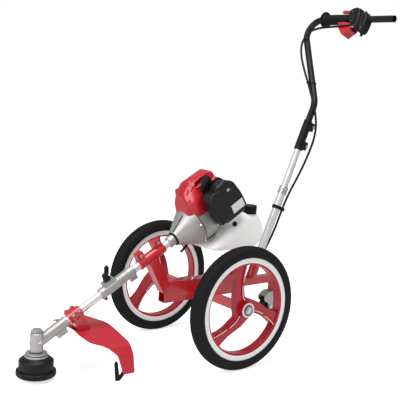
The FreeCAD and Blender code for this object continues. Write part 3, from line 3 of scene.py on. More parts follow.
import bmesh
import bpy
import numpy as np
from mathutils import Matrix, Vector


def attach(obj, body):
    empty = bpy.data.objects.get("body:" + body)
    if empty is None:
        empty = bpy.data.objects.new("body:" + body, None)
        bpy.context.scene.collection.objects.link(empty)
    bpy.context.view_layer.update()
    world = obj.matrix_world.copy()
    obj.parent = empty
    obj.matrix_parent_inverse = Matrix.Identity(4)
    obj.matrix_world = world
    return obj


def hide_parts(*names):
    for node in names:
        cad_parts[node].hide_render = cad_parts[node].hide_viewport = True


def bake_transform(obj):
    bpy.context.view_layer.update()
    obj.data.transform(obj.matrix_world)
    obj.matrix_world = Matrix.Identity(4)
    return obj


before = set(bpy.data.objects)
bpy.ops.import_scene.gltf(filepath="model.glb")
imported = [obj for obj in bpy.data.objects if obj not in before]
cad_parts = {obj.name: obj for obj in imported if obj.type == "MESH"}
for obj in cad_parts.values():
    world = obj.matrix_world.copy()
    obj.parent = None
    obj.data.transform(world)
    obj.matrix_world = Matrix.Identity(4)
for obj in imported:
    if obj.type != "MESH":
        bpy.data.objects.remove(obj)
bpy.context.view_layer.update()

# Studio. The camera stands where the photograph was taken, in front and to the left, just above the engine.
# The floor is a pale sweep that the camera sees as bright as the backdrop, and the light is soft and comes from
# all round, strongest from above.
studio = bpy.context.scene
studio.view_settings.view_transform = "Standard"
machine_middle = -0.004837
camera_place = (1.6688 + machine_middle, 2.1238, 0.9265)
view_yaw, view_pitch, view_roll = math.radians(-127.939), math.radians(-8.789), math.radians(3.291)
sight = Vector((
    math.cos(view_pitch) * math.cos(view_yaw), math.cos(view_pitch) * math.sin(view_yaw), math.sin(view_pitch)))
level = sight.cross(Vector((0, 0, 1))).normalized()
upright = level.cross(sight)
across = math.cos(view_roll) * level + math.sin(view_roll) * upright
upward = math.cos(view_roll) * upright - math.sin(view_roll) * level
lens = bpy.data.cameras.new("PhotoCamera")
lens.lens = 74.03
lens.sensor_width = 36
lens.clip_end = 50
camera = bpy.data.objects.new("PhotoCamera", lens)
camera.matrix_world = Matrix.Translation(camera_place) @ Matrix((across, upward, -sight)).transposed().to_4x4()
studio.collection.objects.link(camera)
studio.camera = camera

floor_mesh = bpy.data.meshes.new("StudioFloor")
floor_reach = 12
floor_mesh.from_pydata([(-floor_reach, -floor_reach, 0), (floor_reach, -floor_reach, 0),
                         (floor_reach, floor_reach, 0), (-floor_reach, floor_reach, 0)], [], [(0, 1, 2, 3)])
floor = bpy.data.objects.new("StudioFloor", floor_mesh)
studio.collection.objects.link(floor)
floor_paint = bpy.data.materials.new("studio paper")
floor_paint.use_nodes = True
paper = floor_paint.node_tree.nodes["Principled BSDF"]
paper.inputs["Base Color"].default_value = (0.93, 0.93, 0.93, 1)
paper.inputs["Roughness"].default_value = 0.9
paper.inputs["Specular IOR Level"].default_value = 0.1
paper.inputs["Emission Color"].default_value = (0.66, 0.66, 0.66, 1)
watched = floor_paint.node_tree.nodes.new("ShaderNodeLightPath")
floor_paint.node_tree.links.new(watched.outputs["Is Camera Ray"], paper.inputs["Emission Strength"])
floor_mesh.materials.append(floor_paint)

room = bpy.data.worlds.new("StudioRoom")
room.use_nodes = True
backdrop = room.node_tree.nodes["Background"]
backdrop.inputs["Color"].default_value = (1, 1, 1, 1)
bounce = room.node_tree.nodes.new("ShaderNodeBackground")
bounce.inputs["Color"].default_value = (0.96, 0.98, 1, 1)
bounce.inputs["Strength"].default_value = 0.42
seen = room.node_tree.nodes.new("ShaderNodeLightPath")
either = room.node_tree.nodes.new("ShaderNodeMixShader")
room.node_tree.links.new(seen.outputs["Is Camera Ray"], either.inputs[0])
room.node_tree.links.new(bounce.outputs[0], either.inputs[1])
room.node_tree.links.new(backdrop.outputs[0], either.inputs[2])
room.node_tree.links.new(either.outputs[0], room.node_tree.nodes["World Output"].inputs["Surface"])
studio.world = room


def softbox(name, place, target, width, height, power, shines=True):
    """A large rectangular lamp that faces the target; one that doesn't shine only fills the shadows."""
    lamp = bpy.data.lights.new(name, "AREA")
    lamp.shape = "RECTANGLE"
    lamp.size, lamp.size_y, lamp.energy = width, height, power
    stand = bpy.data.objects.new(name, lamp)
    stand.location = place
    stand.rotation_euler = (Vector(target) - Vector(place)).to_track_quat("-Z", "Y").to_euler()
    stand.visible_glossy = shines
    studio.collection.objects.link(stand)


softbox("OverheadSoftbox", (0.6, 0.4, 2.8), (0, 0, 0.4), 1.8, 1.8, 50)
softbox("FrontSoftbox", (2.6, 0.2, 1.5), (0, 0, 0.5), 0.8, 1.6, 30)
softbox("SideSoftbox", (0.2, 3.4, 1.0), (0, 0, 0.5), 2.6, 2.0, 16, False)


# Tyres. Black rubber on a 400 mm wheel, each with five rows of small tread blocks and a ribbed shoulder,
# stretched over the rim's beads. Its rubber, like every other finish, drifts a little in shade and gloss and carries
# a fine relief of its own scale.
def surface_group():
    """Colour drift, gloss drift and relief, measured in the piece's own coordinates."""
    group = bpy.data.node_groups.new("surface drift and grain", "ShaderNodeTree")
    sockets = group.interface
    for label, kind, value in (
            ("Colour", "NodeSocketColor", (0.5, 0.5, 0.5, 1)), ("Stretch", "NodeSocketVector", (1, 1, 1)),
            ("Drift", "NodeSocketFloat", 0.1), ("Drift Scale", "NodeSocketFloat", 10),
            ("Roughness", "NodeSocketFloat", 0.5), ("Gloss Drift", "NodeSocketFloat", 0.1),
            ("Grain Scale", "NodeSocketFloat", 800), ("Grain Depth", "NodeSocketFloat", 0.00005)):
        sockets.new_socket(label, in_out="INPUT", socket_type=kind).default_value = value
    for label, kind in (
            ("Colour", "NodeSocketColor"), ("Roughness", "NodeSocketFloat"), ("Normal", "NodeSocketVector")):
        sockets.new_socket(label, in_out="OUTPUT", socket_type=kind)
    nodes, wire = group.nodes, group.links.new
    entry, leave = nodes.new("NodeGroupInput"), nodes.new("NodeGroupOutput")
    place, stretch = nodes.new("ShaderNodeTexCoord"), nodes.new("ShaderNodeVectorMath")
    stretch.operation = "MULTIPLY"
    wire(place.outputs["Object"], stretch.inputs[0])
    wire(entry.outputs["Stretch"], stretch.inputs[1])
    cloud, grain = nodes.new("ShaderNodeTexNoise"), nodes.new("ShaderNodeTexNoise")
    cloud.inputs["Detail"].default_value = 5
    grain.inputs["Detail"].default_value = 3
    wire(stretch.outputs[0], cloud.inputs["Vector"])
    wire(stretch.outputs[0], grain.inputs["Vector"])
    wire(entry.outputs["Drift Scale"], cloud.inputs["Scale"])
    wire(entry.outputs["Grain Scale"], grain.inputs["Scale"])
    centred = nodes.new("ShaderNodeMath")
    centred.operation = "SUBTRACT"
    centred.inputs[1].default_value = 0.5
    wire(cloud.outputs["Fac"], centred.inputs[0])
    shade = nodes.new("ShaderNodeMath")
    shade.operation = "MULTIPLY_ADD"
    shade.inputs[2].default_value = 1
    wire(centred.outputs[0], shade.inputs[0])
    wire(entry.outputs["Drift"], shade.inputs[1])
    tint = nodes.new("ShaderNodeHueSaturation")
    wire(entry.outputs["Colour"], tint.inputs["Color"])
    wire(shade.outputs[0], tint.inputs["Value"])
    wire(tint.outputs["Color"], leave.inputs["Colour"])
    gloss = nodes.new("ShaderNodeMath")
    gloss.operation = "MULTIPLY_ADD"
    gloss.use_clamp = True
    wire(centred.outputs[0], gloss.inputs[0])
    wire(entry.outputs["Gloss Drift"], gloss.inputs[1])
    wire(entry.outputs["Roughness"], gloss.inputs[2])
    wire(gloss.outputs[0], leave.inputs["Roughness"])
    relief = nodes.new("ShaderNodeBump")
    wire(grain.outputs["Fac"], relief.inputs["Height"])
    wire(entry.outputs["Grain Depth"], relief.inputs["Distance"])
    wire(relief.outputs["Normal"], leave.inputs["Normal"])
    return group


surface = surface_group()


def finish(name, colour, roughness, metal=0, coat=0, drift=0.15, drift_scale=9, gloss_drift=0.12,
           grain=900, depth=0.00004, stretch=(1, 1, 1), specular=0.5):
    """A material for one finish: the surface group with its own values, feeding one Principled shader."""
    look = bpy.data.materials.new(name)
    look.use_nodes = True
    look.diffuse_color = (*colour, 1)
    tree = look.node_tree
    shader = tree.nodes["Principled BSDF"]
    skin = tree.nodes.new("ShaderNodeGroup")
    skin.node_tree = surface
    skin.name = "Skin"
    skin.inputs["Colour"].default_value = (*colour, 1)
    skin.inputs["Stretch"].default_value = stretch
    for label, value in (("Drift", drift), ("Drift Scale", drift_scale), ("Roughness", roughness),
                         ("Gloss Drift", gloss_drift), ("Grain Scale", grain), ("Grain Depth", depth)):
        skin.inputs[label].default_value = value
    for output, socket in (("Colour", "Base Color"), ("Roughness", "Roughness"), ("Normal", "Normal")):
        tree.links.new(skin.outputs[output], shader.inputs[socket])
    shader.inputs["Metallic"].default_value = metal
    shader.inputs["Coat Weight"].default_value = coat
    shader.inputs["Coat Roughness"].default_value = 0.05
    shader.inputs["Specular IOR Level"].default_value = specular
    return look


def shape(name, points, faces, look, body, placement=None, sharp=None):
    """One mesh piece from points in millimetres, set in place, finished, and riding on its body."""
    mesh = bpy.data.meshes.new(name)
    placed = [tuple((placement or Matrix()) @ (Vector(p) / 1000)) for p in points]
    mesh.from_pydata(placed, [], faces)
    mesh.materials.append(look)
    tidy = bmesh.new()
    tidy.from_mesh(mesh)
    bmesh.ops.recalc_face_normals(tidy, faces=tidy.faces)
    tidy.to_mesh(mesh)
    tidy.free()
    for face in mesh.polygons:
        face.use_smooth = True
    if sharp is not None:
        mesh.set_sharp_from_angle(angle=math.radians(sharp))
    piece = bpy.data.objects.new(name, mesh)
    studio.collection.objects.link(piece)
    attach(piece, body)
    return piece


def turned_grid(profile, steps, relief=None):
    """Points and faces of a closed profile of (radius, height) turned about Z; relief lowers single points."""
    count = len(profile)
    points, faces = [], []
    for i in range(steps):
        turn = 2 * math.pi * i / steps
        for j, (radius, height) in enumerate(profile):
            drop = relief(i, j) if relief else 0
            points.append(((radius - drop) * math.cos(turn), (radius - drop) * math.sin(turn), height))
    for i in range(steps):
        for j in range(count):
            a, b = i * count + j, i * count + (j + 1) % count
            c, d = ((i + 1) % steps) * count + (j + 1) % count, ((i + 1) % steps) * count + j
            faces.append((a, b, c, d))
    return points, faces


tyre_section = []
for step in range(-44, 45):
    lean = math.radians(step * 2.75)
    flat = 1 / (abs(math.cos(lean)) ** 2.6 + abs(math.sin(lean)) ** 2.6) ** (1 / 2.6)
    tyre_section.append((178 + 22 * flat * math.cos(lean), 22.5 * flat * math.sin(lean)))
tyre_inside = [(166.5, 14.7), (157, 14.7), (157, 9.7), (176, 16), (193, 10), (193, -10), (176, -16), (157, -9.7),
               (157, -14.7), (166.5, -14.7)]
tread_pitch = 5
tread_rows = ((0, 3.6, 0), (6.6, 10.2, 2), (13.2, 17.4, 0))


def tread_relief(around, across_index):
    """How far a point of the tyre lies below its blocks."""
    if across_index >= len(tyre_section):
        return 0
    radius, height = tyre_section[across_index]
    if radius < 181:
        return 0.5 if radius > 176 and around % 3 == 0 else 0
    for low, high, shift in tread_rows:
        if low - 0.4 <= abs(height) <= high + 0.6 or (low == 0 and abs(height) < high):
            row_shift = shift if height > 0 else (shift + 2) % tread_pitch
            return 2.2 if (around + row_shift) % tread_pitch == 0 else 0
    if radius < 196:
        return 1.6 if (around + 2) % tread_pitch < 2 else 0
    return 2.2


tyre_rubber = finish(
    "tyre rubber", (0.013, 0.013, 0.014), 0.62, drift=0.5, drift_scale=60, gloss_drift=0.25, grain=700,
    depth=0.00015, specular=0.1)
wheel_offset, wheel_radius = 0.2335, 0.2
axle_across = Matrix.Rotation(math.radians(-90), 4, "X")
wheel_turns = {
    "left": Matrix.Translation((machine_middle, wheel_offset, wheel_radius)) @ axle_across
    @ Matrix.Rotation(math.radians(-90), 4, "Z"),
    "right": Matrix.Translation((machine_middle, -wheel_offset, wheel_radius))
    @ Matrix.Rotation(math.radians(180), 4, "Z") @ axle_across @ Matrix.Rotation(math.radians(-112), 4, "Z")}
tyre_points, tyre_faces = turned_grid(tyre_section + tyre_inside, 480, tread_relief)
for side, placement in wheel_turns.items():
    tyre = shape("tyre_with_tread_" + side, tyre_points, tyre_faces, tyre_rubber, "wheel_" + side,
                 placement, 38)
    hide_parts("tyre_" + side)


# Wheel rims. Cast wheels with three swept spokes, painted gloss crimson, with a pale machined band at the rim,
# a turned aluminium ring at the hub, and thin pale strips along the spokes' ridges as painted highlights.
def dress(look, edge, *nodes):
    """Give CAD nodes their finish and soften their edges, as moulded, cast or filed parts are."""
    for node in nodes:
        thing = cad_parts[node]
        thing.data.materials.clear()
        thing.data.materials.append(look)
        for face in thing.data.polygons:
            face.use_smooth = True
        weld = thing.modifiers.new("Weld", "WELD")
        weld.merge_threshold = 0.00002
        if edge:
            soften = thing.modifiers.new("Soften", "BEVEL")
            soften.width = edge
            soften.segments = 2
            soften.limit_method = "ANGLE"
            soften.angle_limit = math.radians(32)
            soften.use_clamp_overlap = True
            soften.harden_normals = False
        even = thing.modifiers.new("EvenNormals", "WEIGHTED_NORMAL")
        even.keep_sharp = False


rim_red = finish("wheel crimson", (0.40, 0.002, 0.014), 0.26, coat=0.12, drift=0.12, grain=350, depth=0.00002)
painted_reach = 0.1495
tree = rim_red.node_tree
where, from_axle = tree.nodes.new("ShaderNodeTexCoord"), tree.nodes.new("ShaderNodeVectorMath")
from_axle.operation = "SUBTRACT"
from_axle.inputs[1].default_value = (machine_middle, 0, wheel_radius)
in_wheel_plane, reach = tree.nodes.new("ShaderNodeVectorMath"), tree.nodes.new("ShaderNodeVectorMath")
in_wheel_plane.operation = "MULTIPLY"
in_wheel_plane.inputs[1].default_value = (1, 0, 1)
reach.operation = "LENGTH"
band, tint = tree.nodes.new("ShaderNodeMath"), tree.nodes.new("ShaderNodeMix")
band.operation = "GREATER_THAN"
band.inputs[1].default_value = painted_reach
tint.data_type = "RGBA"
tint.inputs["B"].default_value = (0.82, 0.82, 0.80, 1)
tree.links.new(where.outputs["Object"], from_axle.inputs[0])
tree.links.new(from_axle.outputs[0], in_wheel_plane.inputs[0])
tree.links.new(in_wheel_plane.outputs[0], reach.inputs[0])
tree.links.new(reach.outputs["Value"], band.inputs[0])
tree.links.new(band.outputs[0], tint.inputs["Factor"])
tree.links.new(tree.nodes["Skin"].outputs["Colour"], tint.inputs["A"])
tree.links.new(tint.outputs["Result"], tree.nodes["Principled BSDF"].inputs["Base Color"])
# Painted highlight: thin near-white strips on the spoke ridges stand for the highlights that the ridges catch.
ridge_highlight_white = finish("painted ridge highlight", (0.85, 0.84, 0.82), 0.35, drift=0.05, grain=400, depth=0.00001)
hub_metal = finish("turned hub ring", (0.72, 0.72, 0.72), 0.28, metal=1, drift=0.15, drift_scale=80, grain=500)
ridge_highlight_runs = (((30, 6), (45, 13.5), (62, 15.5), (78, 16)), ((90, 12.5), (105, 12), (124, 9), (142, 4)))
for side, placement in wheel_turns.items():
    for face_sign in (1, -1):
        points, faces = [], []
        for spoke in range(3):
            turn = Matrix.Rotation(math.radians(120 * spoke), 3, "Z")
            for run in ridge_highlight_runs:
                start = len(points)
                for along, off in run:
                    for width, height in ((-0.9, 13.9), (-0.9, 14.35), (0.9, 14.35), (0.9, 13.9)):
                        points.append(turn @ Vector((along, off + width, height * face_sign)))
                for i in range(len(run) - 1):
                    for j in range(4):
                        a, b = start + i * 4 + j, start + i * 4 + (j + 1) % 4
                        faces.append((a, b, b + 4, a + 4))
                faces.append(tuple(start + j for j in range(4)))
                faces.append(tuple(start + (len(run) - 1) * 4 + j for j in range(4)))
        name = "spoke_stripes_%s_%s" % (side, "outer" if face_sign > 0 else "inner")
        shape(name, points, faces, ridge_highlight_white, "wheel_" + side, placement, 40)
    ring_profile = [(18, 27), (24.4, 27), (24.4, 28.2), (23.6, 29), (19, 29), (18, 28.3)]
    ring_points, ring_faces = turned_grid(ring_profile, 64)
    shape("hub_ring_" + side, ring_points, ring_faces, hub_metal, "wheel_" + side, placement, 35)
    dress(rim_red, 0.0016, "rim_" + side)


# Frame and axle. Square steel tube and folded plate, welded together and painted red, with a round rod through the
# axle tube. Its bolts, clips and washers are zinc plated, and the wheels turn on steel ball bearings.
red_paint = finish("red paint", (0.50, 0.004, 0.010), 0.30, coat=0.7, drift=0.12, grain=420, depth=0.00003)
zinc_steel = finish("zinc plated steel", (0.66, 0.67, 0.68), 0.3, metal=1, drift=0.2, drift_scale=60, grain=900)
dark_steel = finish("dark steel", (0.16, 0.16, 0.165), 0.4, metal=1, drift=0.2, drift_scale=60, grain=900)
paint_edge, steel_edge = 0.0012, 0.0004
dress(red_paint, paint_edge, "axle_carrier", "main_frame", "shaft_sleeve", "rear_beam")
dress(zinc_steel, steel_edge, "axle_rod", "frame_fasteners")
dress(dark_steel, steel_edge, "wheel_bearings_left", "wheel_bearings_right")


# Caster and beam knob. A small black moulded wheel on a plated axle, in a cast fork that swivels under the rear
# beam, and the round black knob that is screwed into the beam by hand.
cast_metal = finish(
    "cast aluminium", (0.46, 0.45, 0.44), 0.46, metal=0.8, drift=0.22, drift_scale=22, grain=700, depth=0.00012)
black_plastic = finish("black moulding", (0.008, 0.008, 0.009), 0.42, grain=1600, depth=0.00006, specular=0.2)
cast_edge, moulded_edge = 0.0010, 0.0008
dress(cast_metal, cast_edge, "caster_fork")
dress(zinc_steel, steel_edge, "caster_axle")
dress(black_plastic, moulded_edge, "caster_wheel", "beam_knob")


# Engine cover. A glossy red moulding over the cylinder: flat facets meeting in soft edges, folds pressed into its
# sides, a recess for the spark plug boot, and rows of small vent holes along its front edge, drawn as dark discs of
# painted shade. The shaft frame, in which it is drawn, runs up the drive line from the head.
def spots(placement, *millimetres):
    """Points given in millimetres in one of the machine's frames."""
    return [placement @ (Vector(point) / 1000) for point in millimetres]


def moulding(name, facets, middle, softness, look, body, placement, dents=(), detail=6):
    """A soft-edged shell bounded by facets, each a point and an outward direction, with dents pressed in.
    A dent is a line from one point to another, how wide it is, how deep, and how wide its slope is."""
    ball = bmesh.new()
    bmesh.ops.create_icosphere(ball, subdivisions=detail, radius=1)
    rays = np.array([v.co[:] for v in ball.verts])
    rays /= np.linalg.norm(rays, axis=1)[:, None]
    faces = [tuple(v.index for v in face.verts) for face in ball.faces]
    ball.free()
    ways = np.array([f[1] for f in facets], float)
    ways /= np.linalg.norm(ways, axis=1)[:, None]
    limits = np.einsum("ij,ij->i", ways, np.array([f[0] for f in facets], float)) + softness * 0.4
    start = np.array(middle, float)
    near, far = np.zeros(len(rays)), np.full(len(rays), 400.0)
    for _ in range(34):
        half = (near + far) / 2
        gaps = (start + rays * half[:, None]) @ ways.T - limits
        worst = gaps.max(axis=1)
        depth = worst + softness * np.log(np.exp((gaps - worst[:, None]) / softness).sum(axis=1))
        near, far = np.where(depth < 0, half, near), np.where(depth < 0, far, half)
    points = start + rays * near[:, None]
    sunk = np.zeros(len(rays))
    for one, two, width, drop, slope in dents:
        one, two = np.array(one, float), np.array(two, float)
        run = two - one
        share = np.clip(((points - one) @ run) / max(run @ run, 1e-6), 0, 1)
        away = np.linalg.norm(points - one - share[:, None] * run, axis=1)
        step = np.clip((width + slope - away) / slope, 0, 1)
        pressed = drop * step * step * (3 - 2 * step)
        sunk = np.maximum(sunk, pressed) if drop > 0 else sunk + pressed
    points -= rays * sunk[:, None]
    return shape(name, points.tolist(), faces, look, body, placement)


red_gloss = finish("red gloss moulding", (0.46, 0.002, 0.012), 0.34, coat=0.2, drift=0.1, grain=300, depth=0.00002)
head_ahead, head_lift, shaft_lean = 0.594, 0.1085, -60
shaft_frame = Matrix.Translation((machine_middle + head_ahead, 0, head_lift)) @ Matrix.Rotation(
    math.radians(shaft_lean), 4, "Y")
cover_facets = [((44, 0, 616), (33, 0, -90)), ((128, 0, 655), (27, 0, -20)), ((148, 0, 682), (88, 0, 12)),
                ((136, 0, 770), (5, 0, 76)), ((38, 0, 700), (-1, 0, 0))]
for mirror in (1, -1):
    cover_facets += [((36, 56 * mirror, 700), (-2, 56 * mirror, 0)), ((92, 58 * mirror, 700), (20, 40 * mirror, 0)),
                     ((132, 38 * mirror, 700), (38, 17 * mirror, 0)),
                     ((80, 48 * mirror, 640), (0.1, 0.7 * mirror, -0.7)),
                     ((124, 34 * mirror, 668), (0.62, 0.5 * mirror, -0.6))]
cover_dents = [
    ((132, 50, 704), (126, 44, 752), 20, 19, 4),
    ((78, 28, 634), (97, 40, 641), 1.3, 4, 2.4),
    ((97, 40, 641), (117, 37, 651), 1.3, 4, 2.4),
    ((117, 37, 651), (130, 38, 678), 1.3, 4, 2.4),
    ((130, 38, 678), (133, 34, 712), 1.3, 3.2, 2.4),
    ((116, 26, 649), (137, 24, 682), 0.8, 2, 2),
    ((112, 48, 661), (85, 57, 662), 3.5, -4.5, 4),
    ((85, 57, 662), (46, 57, 669), 3.5, -4.5, 4),
    ((70, -40, 632), (66, 40, 632), 1.6, 3.5, 2.2),
    ((97, -40, 641), (117, -37, 651), 1.3, 4, 2.4),
    ((117, -37, 651), (130, -38, 678), 1.3, 4, 2.4),
    ((112, -48, 661), (46, -57, 669), 3.5, -4.5, 4)]
cover = moulding("engine_cover_moulding", cover_facets, (80, 0, 700), 2.0, red_gloss, "frame",
                 shaft_frame, cover_dents, 7)
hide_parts("engine_cover")
# Painted shade: the vents are near-black discs set into the cover's skin, standing in for the dark insides of the
# holes.
vent_painted_shade = finish("vent shadow", (0.02, 0.004, 0.005), 0.8, drift=0.1, grain=400)
vent_points, vent_faces = [], []
for seat in ((137, -16, 670), (142, -5, 676), (144, 1, 686), (144, 1, 699), (133, -2, 662), (137, 10, 669),
             (140, 17, 678), (141, 17, 691), (141, 14, 708), (123, -24, 654), (114, -23, 649), (105, -22, 645),
             (127, -10, 657), (119, -8, 652), (110, -6, 648)):
    _, skin_point, skin_way, _ = cover.closest_point_on_mesh(spots(shaft_frame, seat)[0])
    disc, rims = turned_grid([(0.05, 0.5), (2.1, 0.5), (2.1, -1.5), (0.05, -1.5)], 12)
    first = len(vent_points)
    face_on = skin_way.to_track_quat("Z", "Y").to_matrix()
    vent_points += [skin_point * 1000 + face_on @ Vector(p) for p in disc]
    vent_faces += [tuple(first + k for k in face) for face in rims]
shape("cover_vents", vent_points, vent_faces, vent_painted_shade, "frame", None, 40)


# Air filter cover. Two deep black mouldings in one: a bevelled body against the carburettor and a lower intake
# box with a flatter top, held by one bright knob, with a blank pale plate on the near side.
filter_black = finish("filter cover moulding", (0.010, 0.011, 0.012), 0.36, drift=0.25, grain=1500, depth=0.00008,
                      specular=0.3)
body_outline = ((-18, 707), (-6, 690), (60, 686), (116, 716), (120, 752), (97, 786), (45, 801), (-3, 804), (-17, 784))
intake_outline = ((-10, 686), (20, 676), (92, 673), (107, 690), (100, 728), (60, 736), (0, 730))


def prism_facets(outline, inner, outer, bevel):
    """Facets of a block on an outline of (up, along), from one side to the other, with its outer edge bevelled."""
    facets = [((outline[0][0], inner, outline[0][1]), (0, -1, 0)), ((outline[0][0], outer, outline[0][1]), (0, 1, 0))]
    middle_up = sum(p[0] for p in outline) / len(outline)
    middle_along = sum(p[1] for p in outline) / len(outline)
    for (up, along), (next_up, next_along) in zip(outline, outline[1:] + outline[:1]):
        side = Vector((next_along - along, 0, up - next_up)).normalized()
        if side.dot(Vector((up - middle_up, 0, along - middle_along))) < 0:
            side = -side
        facets.append(((up, 0, along), tuple(side)))
        facets.append(((up - side.x * bevel, outer, along - side.z * bevel), (side.x, 1, side.z)))
    return facets


def bar_piece(name, centres, long, wide, high, look, body, frame_of, edge=0.8, bits=2):
    """Several like blocks with rounded edges, each centred on its own place, as one piece."""
    whole = bmesh.new()
    for centre, spin in centres:
        block = bmesh.new()
        bmesh.ops.create_cube(block, size=1)
        bmesh.ops.scale(block, vec=(long, wide, high), verts=block.verts)
        bmesh.ops.bevel(block, geom=block.edges[:], offset=edge, segments=bits, affect="EDGES")
        bmesh.ops.transform(block, matrix=Matrix.Translation(centre) @ spin.to_4x4(), verts=block.verts)
        part = bpy.data.meshes.new("part")
        block.to_mesh(part)
        whole.from_mesh(part)
        bpy.data.meshes.remove(part)
        block.free()
    points = [v.co.copy() for v in whole.verts]
    faces = [tuple(v.index for v in face.verts) for face in whole.faces]
    whole.free()
    return shape(name, points, faces, look, body, frame_of, 40)


filter_piece = moulding("filter_cover_moulding", prism_facets(body_outline, 67, 109.5, 7), (50, 86, 745), 1.2,
                        filter_black, "frame", shaft_frame,
                        [((124, 72, 716), (124, 72, 760), 1.5, 2.5, 2)], 6)
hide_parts("filter_cover")
moulding("filter_intake_box", prism_facets(intake_outline, 68, 112, 3), (50, 90, 706), 1.0, filter_black, "frame",
         shaft_frame, [((110, 84, 676), (100, 84, 745), 1, 1.2, 1.2)], 6)
knob_points, knob_faces = turned_grid([(0.05, 0), (6.5, 0), (7, 1), (7, 3), (4, 4), (4, 8), (3, 9), (0.05, 9)], 24)
shape("filter_knob", knob_points, knob_faces, zinc_steel, "frame",
      shaft_frame @ Matrix.Translation((0.087, 0.106, 0.752)) @ Matrix.Rotation(math.radians(-80), 4, "X"), 40)
plate_look = finish("blank pale plate", (0.72, 0.72, 0.70), 0.45, drift=0.06, grain=500, depth=0.00002)
plate_turn = Matrix.Rotation(math.radians(1), 3, "Y")
bar_piece("filter_plate", [(Vector((17, 110, 765)), plate_turn)], 30, 1.4, 52, plate_look, "frame",
          shaft_frame, 0.4)


# Clutch housing and crankcase. Sand-cast aluminium: a ribbed cone clamped to the shaft, a bolted seam flange,
# and a finned case behind it, with hexagon screws round the seam and a rubber ring where the shaft tube enters.
def hex_screws(name, seats, across_flats, tall, look, body, frame_of):
    """Hexagon heads with washers, each standing on a seat point and looking along its direction."""
    points, faces = [], []
    for seat, way in seats:
        turn = Vector(way).to_track_quat("Z", "Y").to_matrix()
        for sides, radius, low, high, rim in (
                (16, across_flats * 0.72, 0, tall * 0.2, 0.3), (6, across_flats * 0.577, tall * 0.2, tall, 0.6)):
            first = len(points)
            for ring_radius, ring_height in ((radius, low), (radius, high - rim), (radius - rim, high)):
                for i in range(sides):
                    angle = 2 * math.pi * i / sides
                    spot = Vector((ring_radius * math.cos(angle), ring_radius * math.sin(angle), ring_height))
                    points.append(Vector(seat) + turn @ spot)
            for ring in range(2):
                for i in range(sides):
                    a, b = first + ring * sides + i, first + ring * sides + (i + 1) % sides
                    faces.append((a, b, b + sides, a + sides))
            faces.append(tuple(first + 2 * sides + i for i in range(sides)))
            faces.append(tuple(first + i for i in reversed(range(sides))))
    return shape(name, points, faces, look, body, frame_of, 30)


black_rubber = finish("black rubber", (0.009, 0.009, 0.009), 0.6, grain=1200, depth=0.00008, specular=0.13)
rib_places = []
for i in range(12):
    turn = Matrix.Rotation(math.radians(30 * i + 15), 3, "Z")
    lean = Matrix.Rotation(math.radians(32.6), 3, "Y")
    rib_places.append((turn @ Vector((44.2, 0, 585)), turn @ lean))
bar_piece("clutch_housing_ribs", rib_places, 5, 3.2, 60, cast_metal, "frame", shaft_frame)
flange_points, flange_faces = turned_grid([(66, 631), (71, 632), (71.5, 633), (71.5, 643), (71, 644), (66, 645)], 96)
shape("seam_flange", flange_points, flange_faces, cast_metal, "frame", shaft_frame, 35)
gasket_points, gasket_faces = turned_grid([(66, 637), (72.3, 637), (72.3, 639), (66, 639)], 96)
shape("seam_gasket", gasket_points, gasket_faces, black_rubber, "frame", shaft_frame, 35)
boss_blocks = []
for angle, along in ((96, 690), (122, 692), (146, 690), (-100, 690), (-125, 692)):
    way = Matrix.Rotation(math.radians(angle), 3, "Z")
    boss_blocks.append((way @ Vector((69, 0, along)), way))
bar_piece("crankcase_bosses", boss_blocks, 15, 14, 22, cast_metal, "frame", shaft_frame, edge=4,
          bits=3)
lug_seats, lug_blocks = [], []
for angle in (20, 75, 128, 180, 232, 285, 340):
    way = Matrix.Rotation(math.radians(angle), 3, "Z")
    lug_blocks.append((way @ Vector((70, 0, 640)), way))
    lug_seats.append((way @ Vector((73, 0, 632.4)), (0, 0, -1)))
bar_piece("seam_lugs", lug_blocks, 13, 13, 15, cast_metal, "frame", shaft_frame, edge=2.5, bits=3)
hex_screws("seam_screws", lug_seats, 7, 4.5, zinc_steel, "frame", shaft_frame)
case_ribs = []
for angle in (150, 168, 186, 204, 222, 240, 258):
    way = Matrix.Rotation(math.radians(angle), 3, "Z")
    case_ribs.append((way @ Vector((69, 0, 672)), way))
bar_piece("crankcase_ribs", case_ribs, 4, 2.6, 52, cast_metal, "frame", shaft_frame)
dress(cast_metal, cast_edge, "clutch_housing", "crankcase")
rubber_edge = 0.0006
dress(black_rubber, rubber_edge, "isolator_ring")


# Spark plug boot. A soft black rubber elbow pressed over the plug: a round head, a waist, and a tail that turns
# down the cover's side to the lead.
def smooth_tube(name, line, radius, swell=None, sides=3, steps=12):
    """A round mesh tube along one NURBS line; swell scales its radius at each point."""
    curve = bpy.data.curves.new(name, "CURVE")
    curve.dimensions = "3D"
    spline = curve.splines.new("NURBS")
    spline.points.add(len(line) - 1)
    for point, spot in zip(spline.points, line):
        point.co = (*spot, 1)
    for point, share in zip(spline.points, swell or ()):
        point.radius = share
    spline.order_u = 3
    spline.use_endpoint_u = True
    spline.resolution_u = steps
    curve.bevel_depth = radius
    curve.bevel_resolution = sides
    curve.use_fill_caps = True
    guide = bpy.data.objects.new(name, curve)
    mesh = bpy.data.meshes.new_from_object(guide)
    bpy.data.objects.remove(guide)
    mesh.name = name
    for face in mesh.polygons:
        face.use_smooth = True
    thing = bpy.data.objects.new(name, mesh)
    studio.collection.objects.link(thing)
    return thing


boot = smooth_tube("spark_plug_boot", spots(
    shaft_frame, (98, 23, 722), (112, 37, 722), (128, 53, 723), (139, 64, 721), (137, 68, 706), (126, 66, 694),
    (112, 60, 688)), 0.0138, (0.95, 0.95, 1.05, 1.02, 0.86, 0.62, 0.34), 6, 10)
boot.data.materials.append(black_rubber)
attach(boot, "frame")
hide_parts("plug_cap")


